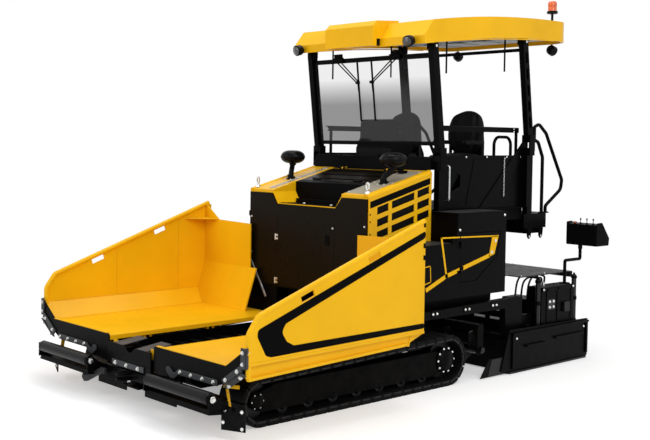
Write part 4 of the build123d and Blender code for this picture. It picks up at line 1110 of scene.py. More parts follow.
@dataclass
class PushRoller(SidePart):
    """Shell, end bolts and guard of a push roller."""

    axis: Flat = (-2.787, 0.355)
    ends: Flat = (0.475, 1.345)
    radius: float = 0.055

    def build(self) -> None:
        """Dresses the roller."""
        along, up = self.axis
        full = self.radius
        shell = self.piece("roller_shell", ROLLER_BLACK, "push_roller_")
        inner, outer = self.ends
        shell.turned((inner, along, up), (outer, along, up), ((0, full - 0.012), (0.006, full - 0.004),
            (0.012, full - 0.0002), (0.045, full - 0.0002), (0.047, full - 0.003), (0.053, full - 0.003),
            (0.055, full - 0.0002), (0.945, full - 0.0002), (0.947, full - 0.003), (0.953, full - 0.003),
            (0.955, full - 0.0002), (0.988, full - 0.0002), (0.994, full - 0.004), (1, full - 0.012)), 48)
        thing = shell.done()
        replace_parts(thing, f"push_roller_{self.side.label}")
        self.piece("roller_bolts", ZINC, "push_beam").bolt((outer + 0.0222, along, up), X,
            0.02).bolt((inner - 0.0222, along, up), -X, 0.02).done()
        self.piece("roller_guard", BLACK, "push_beam").prism(Plane.SIDE, ((-2.672, 0.326), (-2.672, 0.3),
            (-2.8, 0.27), (-2.815, 0.232), (-2.67, 0.215), (-2.67, 0.25), (-2.79, 0.262), (-2.7, 0.292),
            (-2.66, 0.326)), inner - 0.01, outer + 0.01).done(0.0015)


@dataclass
class HoodLines:
    """Sizes that the hood's details share."""

    front: float = -0.545
    front_top: float = 1.88
    slope: float = 0.25355
    half: float = 0.88
    well: float = 0.51

    def top(self, along: float) -> float:
        """Height of the hood's edge at a station."""
        return self.front_top + self.slope * (along - self.front)

    def sloped(self, start: float, end: float, low: float, high: float) -> list[Flat]:
        """A side outline that follows the hood's slope."""
        return [(start, self.top(start) + low), (end, self.top(end) + low), (end, self.top(end) + high),
            (start, self.top(start) + high)]


@dataclass
class HoodSide(HoodLines, SidePart):
    """Vents, top sheet, lifting eye and mirror on one side of the hood."""

    steps = ("vents", "top_sheet", "lifting_eye", "mirror")

    def vents(self) -> None:
        """The black band under the rolled edge, the vents' rims and the dark mesh behind them."""
        self.piece("hood_band", BLACK_FILM).prism(Plane.SIDE, self.sloped(-0.525, 0.345, -0.128, -0.063),
            self.half, self.half + 0.0012).done()
        self.piece("vent_mesh", VENT_MESH).prism(Plane.SIDE, self.sloped(-0.44, 0.345, -0.5, -0.135),
            self.half - 0.02, self.half - 0.0085).done()
        rims = self.piece("vent_rims", BLACK_FILM)
        for row in range(3):
            low = -0.213 - 0.118 * row
            for start, end in ((-0.425, -0.267), (-0.218, 0.110), (0.156, 0.333)):
                for foot, head in ((low - 0.002, low + 0.003), (low + 0.064, low + 0.069)):
                    rims.prism(Plane.SIDE, self.sloped(start, end, foot, head), self.half - 0.008,
                        self.half + 0.0012)
        rims.done()
        self.piece("hood_clips", BLACK_DULL).blocks(*(((self.half, -0.53, height), (self.half + 0.003, -0.515,
            height + 0.016)) for height in (1.69, 1.62, 1.5))).done(0.0008)

    def top_sheet(self) -> None:
        """The grey sheet let into the top, wide on the left and narrow on the right."""
        sheet = self.piece("hood_top_sheet", GREY_SHEET)
        lift = 0.0022
        inner, outer = (self.well + 0.003, self.half - 0.085) if self.side is Side.LEFT else (0.565, 0.64)
        corners = ((inner, -0.5), (outer, -0.5), (outer, 0.34), (inner, 0.34))
        lower, upper = [], []
        for across, along in softened(corners, 0.02):
            lower.append(sheet.mesh.verts.new((across, along, self.top(along) - 0.001)))
            upper.append(sheet.mesh.verts.new((across, along, self.top(along) + lift)))
        sheet.skin((lower, upper))
        sheet.done(0.0008)
        screws = self.piece("hood_screws", ZINC)
        up = Vector((0, -self.slope, 1))
        for across in (inner + 0.02, outer - 0.02):
            for along in (-0.46, -0.1, 0.3):
                screws.bolt((across, along, self.top(along) + lift), up, 0.008)
        screws.done()

    def lifting_eye(self) -> None:
        """A plated lifting eye at the front corner."""
        across, along = 0.815, -0.495
        base = self.top(along)
        eye = self.piece("lifting_eye", ZINC).puck((across, along, base), (across, along, base + 0.03), 0.026,
            0.016, 0.5, 20)
        outer = [(0.0234 * a, 0.075 + 0.042 * b) for a, b in circle(1, 20)]
        inner = [(0.013 * a, 0.078 + 0.024 * b) for a, b in circle(1, 20)]
        loops = [[eye.mesh.verts.new((across + a, along + depth, base + b)) for a, b in ring] for ring,
            depth in ((outer, -0.007), (outer, 0.007), (inner, 0.007), (inner, -0.007))]
        eye.skin(loops, True).done(0.0015)

    def mirror(self) -> None:
        """A domed mirror shell on its thick bent stalk, with its rim, foot and bolts."""
        across, along, up = 0.742, -0.062, 2.222
        shell = self.piece("mirror_shell", GLOSS_PLASTIC)
        rings = []
        for step in range(1, 14):
            angle = pi * step / 14
            rings.append((0.5 - 0.5 * cos(angle), 0.134 * sin(angle) ** 0.72))
        shell.turned((across, along, up - 0.074), (across, along, up + 0.074), rings, 40)
        thing = shell.done(smooth=60)
        self.piece("mirror_rim", PLASTIC).collar((across, along, up - 0.012), (across, along, up + 0.012),
            0.1355, 0.13, 40).done(smooth=50)
        self.pipe("mirror_stalk", PLASTIC, ((0.688, -0.132, self.top(-0.132)), (0.688, -0.132, 2.05),
            (0.742, -0.068, 2.12), (0.742, -0.062, 2.16)), 0.028, 0.045)
        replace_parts(thing, "mirrors")
        foot = self.piece("mirror_foot", PLASTIC)
        normal = Vector((0, -self.slope, 1)).normalized()
        base = Vector((0.688, -0.132, self.top(-0.132)))
        foot.turned(base, base + normal * 0.05, ((0, 0.048), (0.25, 0.048), (0.4, 0.036), (1, 0.033)),
            28).turned((across, along, up - 0.092), (across, along, up - 0.055), ((0, 0.034), (0.6, 0.04),
            (1, 0.036)), 28).done()
        bolts = self.piece("mirror_foot_bolts", ZINC)
        for a, b in circle(0.06, 4, pi / 4):
            seat = base + Vector((a, b, 0))
            seat.z = self.top(seat.y) + 0.002
            bolts.bolt(seat, normal, 0.008)
        bolts.done()


@dataclass
class EngineHood(HoodLines, Assembly):
    """Front wall, sunken middle, lid and exhaust of the hood."""

    steps = ("front_wall", "middle", "pipe")

    def front_wall(self) -> None:
        """Seam, hinges, handle and bright edge strip of the dark front wall."""
        face = self.front - 0.012
        Piece("wall_seams", GASKET, slot="black_paint").blocks(((-0.4325, face - 0.0015, 0.885),
            (-0.4255, face, 1.6)), ((-0.868, face - 0.0015, 1.6), (0.868, face, 1.6035)),
            ((0.4255, face - 0.0015, 0.885), (0.4295, face, 1.6))).done()
        hinges = Piece("wall_hinges", ZINC)
        for up in (1.389, 0.93):
            hinges.rod((-0.44, face - 0.009, up - 0.032), (-0.44, face - 0.009, up + 0.032),
                0.008).blocks(((-0.438, face - 0.005, up - 0.028), (-0.41, face, up - 0.008)),
                ((-0.438, face - 0.005, up + 0.008), (-0.41, face, up + 0.028)))
        hinges.done(0.001)
        Piece("wall_screws", ZINC).bolts(((across, face, up) for across, up in ((0.405, 1.534), (-0.84, 1.58),
            (0.84, 1.58), (-0.84, 1.2), (0.84, 1.2))), -Y, 0.008).done()
        strips = Piece("wall_edge_strips", GALVANISED)
        for side in Side:
            along = Vector((side.x(0.263), 0, 0.384))
            strips.slab((side.x(0.72), face - 0.003, 0.925), along, Vector((0, -1, 0)), (0.45, 0.006, 0.026))
        strips.done(0.002)
        Piece("wall_catches", BLACK_DULL).block((-0.885, face - 0.004, 1.585), (-0.868, face + 0.012,
            1.64)).block((0.3, face - 0.006, 1.36), (0.36, face, 1.46)).done(0.003)

    def middle(self) -> None:
        """Black plates, ribs, studs and lid grips in the sunken middle of the hood."""
        Piece("well_ribs", BLACK).block((-0.42, -0.3, 1.745), (0.42, -0.285, 1.79)).block((-0.4, -0.53,
            1.745), (0.4, -0.5, 1.752)).done(0.002)
        Piece("well_liner", BLACK_FILM).blocks(((-0.432, -0.535, 1.745), (0.432, -0.2235, 1.7465)),
            ((-0.509, -0.2235, 1.7465), (0.509, -0.222, self.top(-0.2235)))).prism(Plane.SIDE,
            self.sloped(-0.2235, -0.15, 0, 0.0012), -0.509, 0.509).prism(Plane.SIDE, self.sloped(0.331, 0.368,
            0, 0.0012), -0.509, 0.509).done()
        Piece("well_studs", ZINC).bolts(((across, -0.42, 1.745) for across in (-0.16, 0.24)), Z, 0.014).done()
        Piece("lid_ribs", BLACK, "hood_lid").each(Piece.slab, (((0, along, self.top(along) + 0.0035), X,
            Vector((0, 1, self.slope)), (0.84, 0.012, 0.007)) for along in (-0.06, 0.09, 0.24))).done(0.002)
        Piece("lid_grips", PLASTIC, "hood_lid").each(Piece.slab, (((across, -0.11, self.top(-0.11) + 0.008),
            X, Vector((0, 1, self.slope)), (0.12, 0.028, 0.014)) for across in (-0.3, 0.3))).done(0.005)

    def pipe(self) -> None:
        """The exhaust's outlet box behind the left mirror."""
        Piece("exhaust_outlet", BLACK_DULL).puck((0.6, 0.24, self.top(0.24) + 0.0022),
            (0.6, 0.24, self.top(0.24) + 0.03), 0.05, 0.045, 0.7, 32).done()


@dataclass
class FoldFrame:
    """The folding posts' line, for the pieces that lie along it."""

    foot: Flat
    body: str
    run: Flat = (-0.135, 1.06)
    inner: float = 0.852
    outer: float = 0.918

    def at(self, share: float, forward: float = 0.0) -> Flat:
        """A point (y, z) beside the posts.

        Args:
            share: How far up the posts it lies, 0 to 1.
            forward: Its distance in front of them.

        Returns:
            The point.
        """
        length = hypot(*self.run)
        return (self.foot[0] + self.run[0] * share - self.run[1] / length * forward,
            self.foot[1] + self.run[1] * share + self.run[0] / length * forward)

    def pins(self) -> None:
        """Capped pins at the posts' feet and heads."""
        caps = Piece(f"{self.body}_pins", ZINC, self.body)
        for side in Side:
            for share in (0.0, 1.0):
                along, up = self.at(share)
                caps.bolt((side.x(self.outer), along, up), (side.x(1), 0, 0), 0.016).bolt((side.x(self.inner),
                    along, up), (-side.x(1), 0, 0), 0.016)
        caps.done()


@dataclass
class Windscreen:
    """Rubber seal, pins and the two pantograph wipers of the windscreen."""

    line: FoldFrame

    def build(self) -> None:
        """Dresses the windscreen and its posts."""
        self.line.pins()
        seal = Piece("windscreen_seal", GASKET, "front_posts")
        for side in Side:
            foot, head = self.line.at(0.086, 0.006), self.line.at(0.9, 0.006)
            middle = between(foot, head, 0.5)
            seal.slab((side.x(0.843), *middle), Vector((0, head[0] - foot[0], head[1] - foot[1])), X,
                (0.865, 0.016, 0.014))
        for share in (0.086, 0.90):
            seal.slab((0, *self.line.at(share, 0.006)), X, Vector((0, -0.127, 0.99)), (1.686, 0.016, 0.014))
        seal.done(0.002)
        for index, (pivot, tip) in enumerate(((-0.45, -0.175), (0.39, 0.035))):
            self.wiper(index, pivot, tip)

    def wiper(self, index: int, pivot: float, tip: float) -> None:
        """One wiper: motor cover, two parallel arms and an upright blade.

        Args:
            index: Number of the wiper, from the right.
            pivot: X of the arms' pivot.
            tip: X of the blade.
        """
        body, level, rise = ("front_posts", X, Vector((0, -0.127, 0.99)))
        Piece(f"wiper_motor_{index}", BLACK_DULL, body).slab((pivot, *self.line.at(0.925, 0.028)), level,
            rise, (0.15, 0.06, 0.028)).slab((pivot, *self.line.at(0.965, 0.02)), level, rise, (0.11, 0.05,
            0.03)).done(0.004)
        Piece(f"wiper_arm_{index}", BLACK_DULL, body).each(Piece.rod,
            (((pivot + offset, *self.line.at(0.915, 0.03)), (tip + offset * 0.6, *self.line.at(0.69, 0.03)),
            0.007, 10) for offset in (-0.03, 0.03))).slab((tip, *self.line.at(0.69, 0.03)), level, rise,
            (0.06, 0.03, 0.012)).rod((tip, *self.line.at(0.69, 0.026)), (tip, *self.line.at(0.6, 0.022)),
            0.009, 8).done(0.001)
        Piece(f"wiper_blade_{index}", GASKET, body).each(Piece.rod, (((tip, *self.line.at(0.3, forward)),
            (tip, *self.line.at(0.9, forward)), radius, 8) for forward, radius in ((0.018, 0.009),
            (0.008, 0.005)))).done()


@dataclass
class RoofTrim(Assembly):
    """Lining, lamps, hanging rods, drip edges and the beacon's base."""

    half: float = 0.955
    rods: tuple[Point, ...] = ((0.832, 0.62, 3.11), (0.832, 1.60, 3.18))
    steps = ("underside", "lamps", "hangers", "drip_edges", "beacon_base")

    def ceiling(self, along: float) -> float:
        """Height of the lining at a station."""
        share = (along - 0.2) / 2.5
        return 3.44 + 0.171 * (1.72 * share - 0.72 * share * share)

    def underside(self) -> None:
        """A pale lining sheet pressed with ribs, just under the shell."""
        sheet = Piece("roof_lining", PALE_GREY, "roof")
        stations = [0.225 + 0.1 * step for step in range(25)]
        crown = [(along, self.ceiling(along) - 0.0045) for along in stations]
        outline = crown + [(along, up - 0.004) for along, up in reversed(crown)]
        sheet.prism(Plane.SIDE, outline, -0.79, 0.79).done(0)
        ribs = Piece("roof_ribs", PALE_GREY, "roof")
        for across in (-0.55, -0.18, 0.18, 0.55):
            line = [(along, self.ceiling(along) - 0.008) for along in stations[1:-2]]
            ribs.prism(Plane.SIDE, line + [(along, up - 0.01) for along, up in reversed(line)], across - 0.03,
                across + 0.03)
        ribs.done(0.004)

    def lamps(self) -> None:
        """Round work lamps with dark bodies and ribbed lenses."""
        body = Piece("lamp_bodies", GLOSS_PLASTIC, "roof")
        lenses = Piece("lamp_lenses", LAMP, "roof")
        rims = Piece("lamp_rims", PLASTIC, "roof")
        for side in Side:
            for centre, ahead in (((side.x(0.811), 0.068, 3.404), Vector((side.x(0.12), -1,
                    -0.25)).normalized()), ((side.x(0.69), 2.685, 3.494),
                    Vector((side.x(0.1), 1, -0.35)).normalized())):
                middle = Vector(centre)
                shape = [(0, 0.012)]
                for step in range(1, 9):
                    angle = pi / 2 * step / 9
                    shape.append((0.45 - 0.45 * cos(angle), 0.058 * sin(angle)))
                shape += [(0.55, 0.0585), (0.8, 0.0585), (0.82, 0.053)]
                start, end = middle - ahead * 0.058, middle + ahead * 0.055
                body.turned(start, end, shape, 32)
                rims.collar(middle + ahead * 0.018, middle + ahead * 0.04, 0.0595, 0.0555, 32)
                lenses.turned(middle + ahead * 0.03, middle + ahead * 0.052, ((0, 0.052), (0.4, 0.051),
                    (0.75, 0.036), (1, 0.012)), 32)
            body.rod((side.x(0.811), 0.115, 3.404), (side.x(0.811), 0.134, 3.404), 0.022).rod((side.x(0.69),
                2.685, 3.545), (side.x(0.69), 2.685, 3.5585), 0.012)
        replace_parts(body.done(smooth=50), "roof_lamps")
        lenses.done(smooth=50)
        rims.done(0.001)

    def hangers(self) -> None:
        """The straight rods that hang from the roof's sides."""
        for side in Side:
            rods = Piece(f"roof_hangers_{side.label}", BLACK_DULL, "roof")
            for across, along, foot in self.rods:
                top = self.ceiling(along) - 0.004
                rods.rod((side.x(across), along, top), (side.x(across), along, foot), 0.0095,
                    14).rod((side.x(across), along, top), (side.x(across), along, top - 0.02), 0.02, 16)
            rods.done(0.002)

    def drip_edges(self) -> None:
        """A thin folded edge along the foot of the roof's sides, and the visor's fold."""
        edge = Piece("roof_edges", YELLOW, "roof")
        stations = [0.29 + 0.12 * step for step in range(18)]
        for side in Side:
            line = [(along, 3.392 + 0.168 * (1.82 * share - 0.82 * share * share) + 0.0015)
                for along in stations for share in ((along - 0.27) / 2.45,)]
            edge.prism(Plane.SIDE, line + [(along, up + 0.012) for along, up in reversed(line)],
                side.x(self.half), side.x(self.half + 0.003))
        edge.done(0.001)
        Piece("roof_seams", GASKET, "roof").blocks(*(((side.x(0.349), 0.085, 3.386), (side.x(0.351), 0.1336,
            3.46)) for side in Side)).done()

    def beacon_base(self) -> None:
        """Flange, stem and ribbed dome of the beacon."""
        foot = (0.74, 2.61, 3.7838)
        Piece("beacon_base", PLASTIC, "roof").turned(foot, (0.74, 2.61, 3.803), ((0, 0.045), (0.5, 0.045),
            (0.9, 0.03), (1, 0.018)), 28).rod((0.74, 2.61, 3.8), (0.74, 2.61, 3.905), 0.014).turned((0.74,
            2.61, 3.904), (0.74, 2.61, 3.936), ((0, 0.05), (0.15, 0.0615), (0.85, 0.0615), (1, 0.055)),
            36).done()
        dome = Piece("beacon_dome", ORANGE, "roof").turned((0.74, 2.61, 3.934), (0.74, 2.61, 4.053),
            ((0, 0.0515), (0.1, 0.0515), (0.12, 0.05), (0.5, 0.05), (0.52, 0.0515), (0.78, 0.0512),
            (0.9, 0.045), (0.97, 0.032), (1, 0.012)), 36)
        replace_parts(dome.done(smooth=50), "beacon")


@dataclass
class ControlConsole:
    """Dash pod, switches, joystick and binnacle on the sliding console, and the steering wheel."""

    middle: float = -0.10
    hub: Point = (0.02, 0.80, 2.47)

    def build(self) -> None:
        """Dresses the console and the wheel."""
        left, right = self.middle - 0.262, self.middle + 0.262
        Piece("console_desk", PLASTIC, "console").prism(Plane.SIDE, softened(((0.541, 2.172), (0.541, 2.33),
            (0.6, 2.439), (0.888, 2.379), (0.898, 2.331), (0.82, 2.251), (0.7, 2.172)), 0.02), left + 0.001,
            right - 0.001).done(0.008)
        face = Piece("console_face", DASH_GREY, "console")
        slope = Vector((0, 0.288, -0.06)).normalized()
        face.slab((self.middle, 0.744, 2.4105), X, slope, (0.46, 0.23, 0.004)).done(0.0015)
        switches = Piece("console_switches", BLACK_DULL, "console", "black_plastic")
        caps = Piece("console_buttons", ORANGE, "console")
        for column in range(7):
            for row in range(2):
                seat = Vector((left + 0.07 + 0.055 * column, 0.7 + 0.045 * row, 2.4218 - 0.0094 * row))
                if (column + row) % 5 == 3:
                    caps.puck(seat, seat + Vector((0, 0.002, 0.014)), 0.011, 0.008, 0.8, 14)
                else:
                    switches.slab(seat + Vector((0, 0.001, 0.005)), X, slope, (0.024, 0.032, 0.01))
        switches.done(0.002)
        caps.done()
        Piece("console_binnacle", PLASTIC, "console").prism(Plane.SIDE,
            softened(((0.592, 2.42), (0.602, 2.636), (0.66, 2.646), (0.798, 2.6), (0.79, 2.588),
            (0.665, 2.62), (0.64, 2.61), (0.638, 2.42)), 0.012), left + 0.011, right - 0.011).done(0.004)
        Piece("console_screen", DARK_GLASS, "console").slab((self.middle + 0.13, 0.641, 2.52), X, Z,
            (0.17, 0.12, 0.006)).slab((self.middle - 0.13, 0.641, 2.52), X, Z, (0.1, 0.1, 0.006)).done(0.002)
        stick = Piece("console_joystick", PLASTIC, "console")
        for across in (left + 0.06, right - 0.07):
            root = Vector((across, 0.84, 2.392))
            stick.turned(root, root + Vector((0, 0.004, 0.03)), ((0, 0.028), (0.6, 0.02), (1, 0.012)),
                20).rod(root + Vector((0, 0.002, 0.02)), root + Vector((0, 0.012, 0.1)), 0.006).turned(root
                + Vector((0, 0.01, 0.085)), root + Vector((0, 0.022, 0.17)), ((0, 0.01), (0.1, 0.017),
                (0.6, 0.02), (0.9, 0.017), (1, 0.008)), 20)
        stick.done()
        Piece("console_boot", GASKET, "console").slab((self.middle, 0.895, 2.335), X, Z, (0.38, 0.012,
            0.01)).done(0.003)
        self.wheel()

    def wheel(self) -> None:
        """A moulded rim on three flat spokes with a hub cap and finger grips."""
        axis = Vector((0, 0.5, 0.866)).normalized()
        hub = Vector(self.hub) + axis * 0.0143
        across, ahead = X, axis.cross(X)
        rim = Piece("wheel_rim", PLASTIC, "steering_wheel")
        loops = []
        for step, (a, b) in enumerate(circle(1, 72)):
            out = across * a + ahead * b
            grip = 0.0138 + (0.0012 if step % 4 < 2 else 0)
            loops.append([rim.mesh.verts.new(hub + out * (0.17 + c) + axis * d) for c, d in circle(grip, 12)])
        rim.skin(loops, True)
        for a, b in circle(1, 3, pi / 2):
            out = across * a + ahead * b
            rim.slab(hub + out * 0.098 - axis * 0.004, out, out.cross(axis), (0.125, 0.024, 0.01)).slab(hub
                + out * 0.06 + axis * 0.002, out, out.cross(axis), (0.05, 0.034, 0.012))
        rim.turned(hub - axis * 0.0139, hub + axis * 0.0139, ((0, 0.034), (0.15, 0.0395), (0.6, 0.0395),
            (0.85, 0.034), (1, 0.02)), 32)
        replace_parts(rim.done(0.002), "steering_wheel")
        Piece("wheel_cap", GLOSS_PLASTIC, "steering_wheel").puck(hub + axis * 0.011, hub + axis * 0.0165,
            0.027, 0.02, 0.7, 28).done()
        knob = Piece("wheel_knob", GLOSS_PLASTIC, "steering_wheel")
        seat = hub + (across * 0.5 - ahead * 0.866) * 0.156
        knob.turned(seat, seat + axis * 0.014, ((0, 0.007), (1, 0.007)), 12).done()


@dataclass
class DriverSeat(SidePart):
    """One upholstered seat: soft cushion and tall rounded back on a hard base with armrests."""

    middle: float = 0.45
    along: float = 1.265

    def build(self) -> None:
        """Makes the seat in place of the CAD one."""
        body, x, y = "seat_", self.middle, self.along
        pieces = [self.cushion("cushion", (x, y - 0.025, 2.222), (0.215, 0.235, 0.058), tilt=0.05)]
        pieces.append(self.cushion("back", (x, y + 0.193, 2.51), (0.232, 0.05, 0.25), tilt=-0.12, wings=0.035,
            soft=0.85))
        for bolster in (-1, 1):
            end = Side(bolster * self.side.value).label
            arm = self.cushion(f"arm_{end}", (x + bolster * 0.212, y + 0.03, 2.405), (0.028, 0.155, 0.022))
        shell = self.piece("seat_shell", PLASTIC, body).prism(Plane.SIDE, softened(((y - 0.214, 2.152),
            (y - 0.214, 2.178), (y + 0.14, 2.178), (y + 0.2, 2.24), (y + 0.222, 2.62), (y + 0.232, 2.62),
            (y + 0.258, 2.4), (y + 0.213, 2.2), (y + 0.15, 2.152)), 0.02), x - 0.195, x + 0.195).turned((x, y,
            2.0403), (x, y, 2.152), ((0, 0.066), (0.2, 0.066), (0.3, 0.05), (0.7, 0.05), (1, 0.062)), 32)
        for bolster in (-1, 1):
            shell.slab((x + bolster * 0.222, y + 0.19, 2.3), Z, Y, (0.2, 0.045, 0.014))
        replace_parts(shell.done(0.006), f"seat_{self.side.label}")
        bellows = self.piece("seat_bellows", GASKET)
        rings = [(step / 12, 0.0715 if step % 2 else 0.0755) for step in range(13)]
        bellows.turned((x, y, 1.83), (x, y, 2.038), rings, 32).puck((x, y, 1.7), (x, y, 1.712), 0.11, 0.1,
            0.7, 32).done(smooth=80)
        self.piece("seat_screws", ZINC).bolts(((x + a, y + b, 1.7118) for a, b in circle(0.09, 4, pi / 4)), Z,
            0.008).done()

    def cushion(self, part: str, centre: Point, half: Point, tilt: float = 0.0, wings: float = 0.0,
            soft: float = 0.38) -> Thing:
        """A crowned, seamed cushion.

        Args:
            part: Its place on the seat.
            centre: Its middle.
            half: Half its width, depth and height.
            tilt: Lean about the cross axis, in radians.
            wings: How far the sides of a back stand forward.
            soft: How round its outline is, from a block to a ball.

        Returns:
            The cushion.
        """
        piece = self.piece(f"seat_{part}", VINYL, "seat_")
        bmesh.ops.create_cube(piece.mesh, size=2)
        bmesh.ops.subdivide_edges(piece.mesh, edges=piece.mesh.edges, cuts=9, use_grid_fill=True)
        upright = half[2] > half[1]
        turn = Matrix.Rotation(tilt, 3, "X")
        for vert in piece.mesh.verts:
            u, v, w = vert.co
            rounded = Vector((u * bulge(v, w), v * bulge(w, u), w * bulge(u, v)))
            mixed = Vector((u, v, w)) * (1 - soft) + rounded * soft
            face, cross = (v, w) if upright else (w, v)
            crown = (1 - u * u) * (1 - cross * cross)
            channel = 0.05 * cos(cross * pi * 3) * (1 - u ** 4) * (abs(face) > 0.98)
            seam = -0.1 * (abs(abs(u) - 0.6) < 0.06) * (abs(face) > 0.98)
            lift = (0.16 * crown + channel + seam) * (1 if face > 0 else -1) * (abs(face) > 0.6)
            point = mixed.copy()
            if upright:
                point.y += lift if face < 0 else 0
                point.y -= wings / half[1] * u ** 4 if face < 0 else 0
            else:
                point.z += lift if face > 0 else 0
            vert.co = Vector(centre) + turn @ Vector((point.x * half[0], point.y * half[1],
                point.z * half[2]))
        return piece.done(0, 180, 1)


@dataclass
class SideBody(SidePart):
    """Outline stripe, hatch, catches and bolts of a side body."""

    face: float = 1.22
    turn: Flat = (0.214, 1.09)
    steps = ("outline", "hatch", "details")

    def stroke(self, piece: Piece, corners: Sequence[Flat], width: float, depth: Flat) -> None:
        """A painted line along open corners.

        Args:
            piece: Piece that it is added to.
            corners: (y, z) corners of its centre line.
            width: Its width.
            depth: How far out it starts and ends.
        """
        for start, end in zip(corners, corners[1:]):
            run = Vector(end) - Vector(start)
            off = Vector((-run.y, run.x)).normalized() * width / 2
            grow = run.normalized() * width / 2
            a, b = Vector(start) - grow, Vector(end) + grow
            piece.prism(Plane.SIDE, [tuple(a + off), tuple(b + off), tuple(b - off), tuple(a - off)],
                depth[0], depth[1])

    def outline(self) -> None:
        """The tilted yellow frame painted across the panel and the hatch."""
        body = self.piece("side_stripe", YELLOW_FILM)
        depth = (self.face, self.face + 0.0014)
        turn = self.turn
        self.stroke(body, ((0.405, 1.462), (0.13, 1.468)), 0.014, depth)
        self.stroke(body, ((0.13, 1.462), turn), 0.024, depth)
        self.stroke(body, ((0.405, turn[1] + (0.405 - turn[0]) * (1.25 - turn[1]) / (0.88 - turn[0])), turn,
            (-0.07, 0.98)), 0.042, depth)
        body.done()
        door = self.piece("door_stripe", YELLOW_FILM, "side_door_")
        depth = (self.face - 0.002, self.face - 0.0006)
        self.stroke(door, ((0.435, 1.461), (1.035, 1.447)), 0.014, depth)
        self.stroke(door, ((0.435, turn[1] + (0.435 - turn[0]) * (1.25 - turn[1]) / (0.88 - turn[0])),
            (0.88, 1.25)), 0.042, depth)
        door.prism(Plane.SIDE, ((0.935, 1.449), (1.04, 1.447), (0.975, 1.262), (0.885, 1.238)), depth[0],
            depth[1]).done()

    def hatch(self) -> None:
        """A small filler hatch ahead of the door, with its painted edge, and the door's catches."""
        frame_line = self.piece("filler_frame", YELLOW_FILM)
        self.stroke(frame_line, ((-0.175, 1.19), (-0.03, 1.205), (-0.02, 1.05), (-0.155, 1.02),
            (-0.175, 1.19)), 0.009, (self.face, self.face + 0.0014))
        frame_line.done()
        self.piece("filler_flap", BLACK).prism(Plane.SIDE, softened(((-0.16, 1.178), (-0.04, 1.19),
            (-0.032, 1.062), (-0.142, 1.036)), 0.012), self.face, self.face + 0.004).done(0.001)
        catches = self.piece("door_catches", ZINC, "side_door_")
        for along, up in ((0.99, 1.40), (0.93, 1.285)):
            catches.puck((self.face - 0.002, along, up), (self.face + 0.006, along, up), 0.017, 0.012, 0.6,
                20).slab((self.face + 0.007, along, up), Vector((0, 1, 0.2)), Z, (0.026, 0.006, 0.004))
        catches.done()

    def details(self) -> None:
        """Bolts, seams, a step on the shoulder and a latch on the ledge."""
        self.piece("side_bolts", ZINC).bolts(((self.face, along, up) for along, up in ((0.41, 1.535),
            (1.135, 1.66), (-0.5, 1.35))), X, 0.01).done()
        self.piece("side_seams", GASKET).blocks(((self.face, -0.3, 0.872), (self.face + 0.0008, -0.297,
            1.398)), ((self.face, 1.1, 0.872), (self.face + 0.0008, 1.103, 1.698)),
            ((self.face, -0.53, 0.982), (self.face + 0.0008, 0.4, 0.985))).done()
        self.piece("shoulder_tread", WALKWAY).block((0.9, -0.5, 1.4), (1.19, 0.36, 1.403)).block((0.9, 0.41,
            1.7), (1.19, 1.14, 1.703)).done(0.001)
        self.piece("shoulder_latch", BLACK_DULL).block((self.face - 0.02, 0.3, 1.4), (self.face, 0.36,
            1.47)).done(0.004)


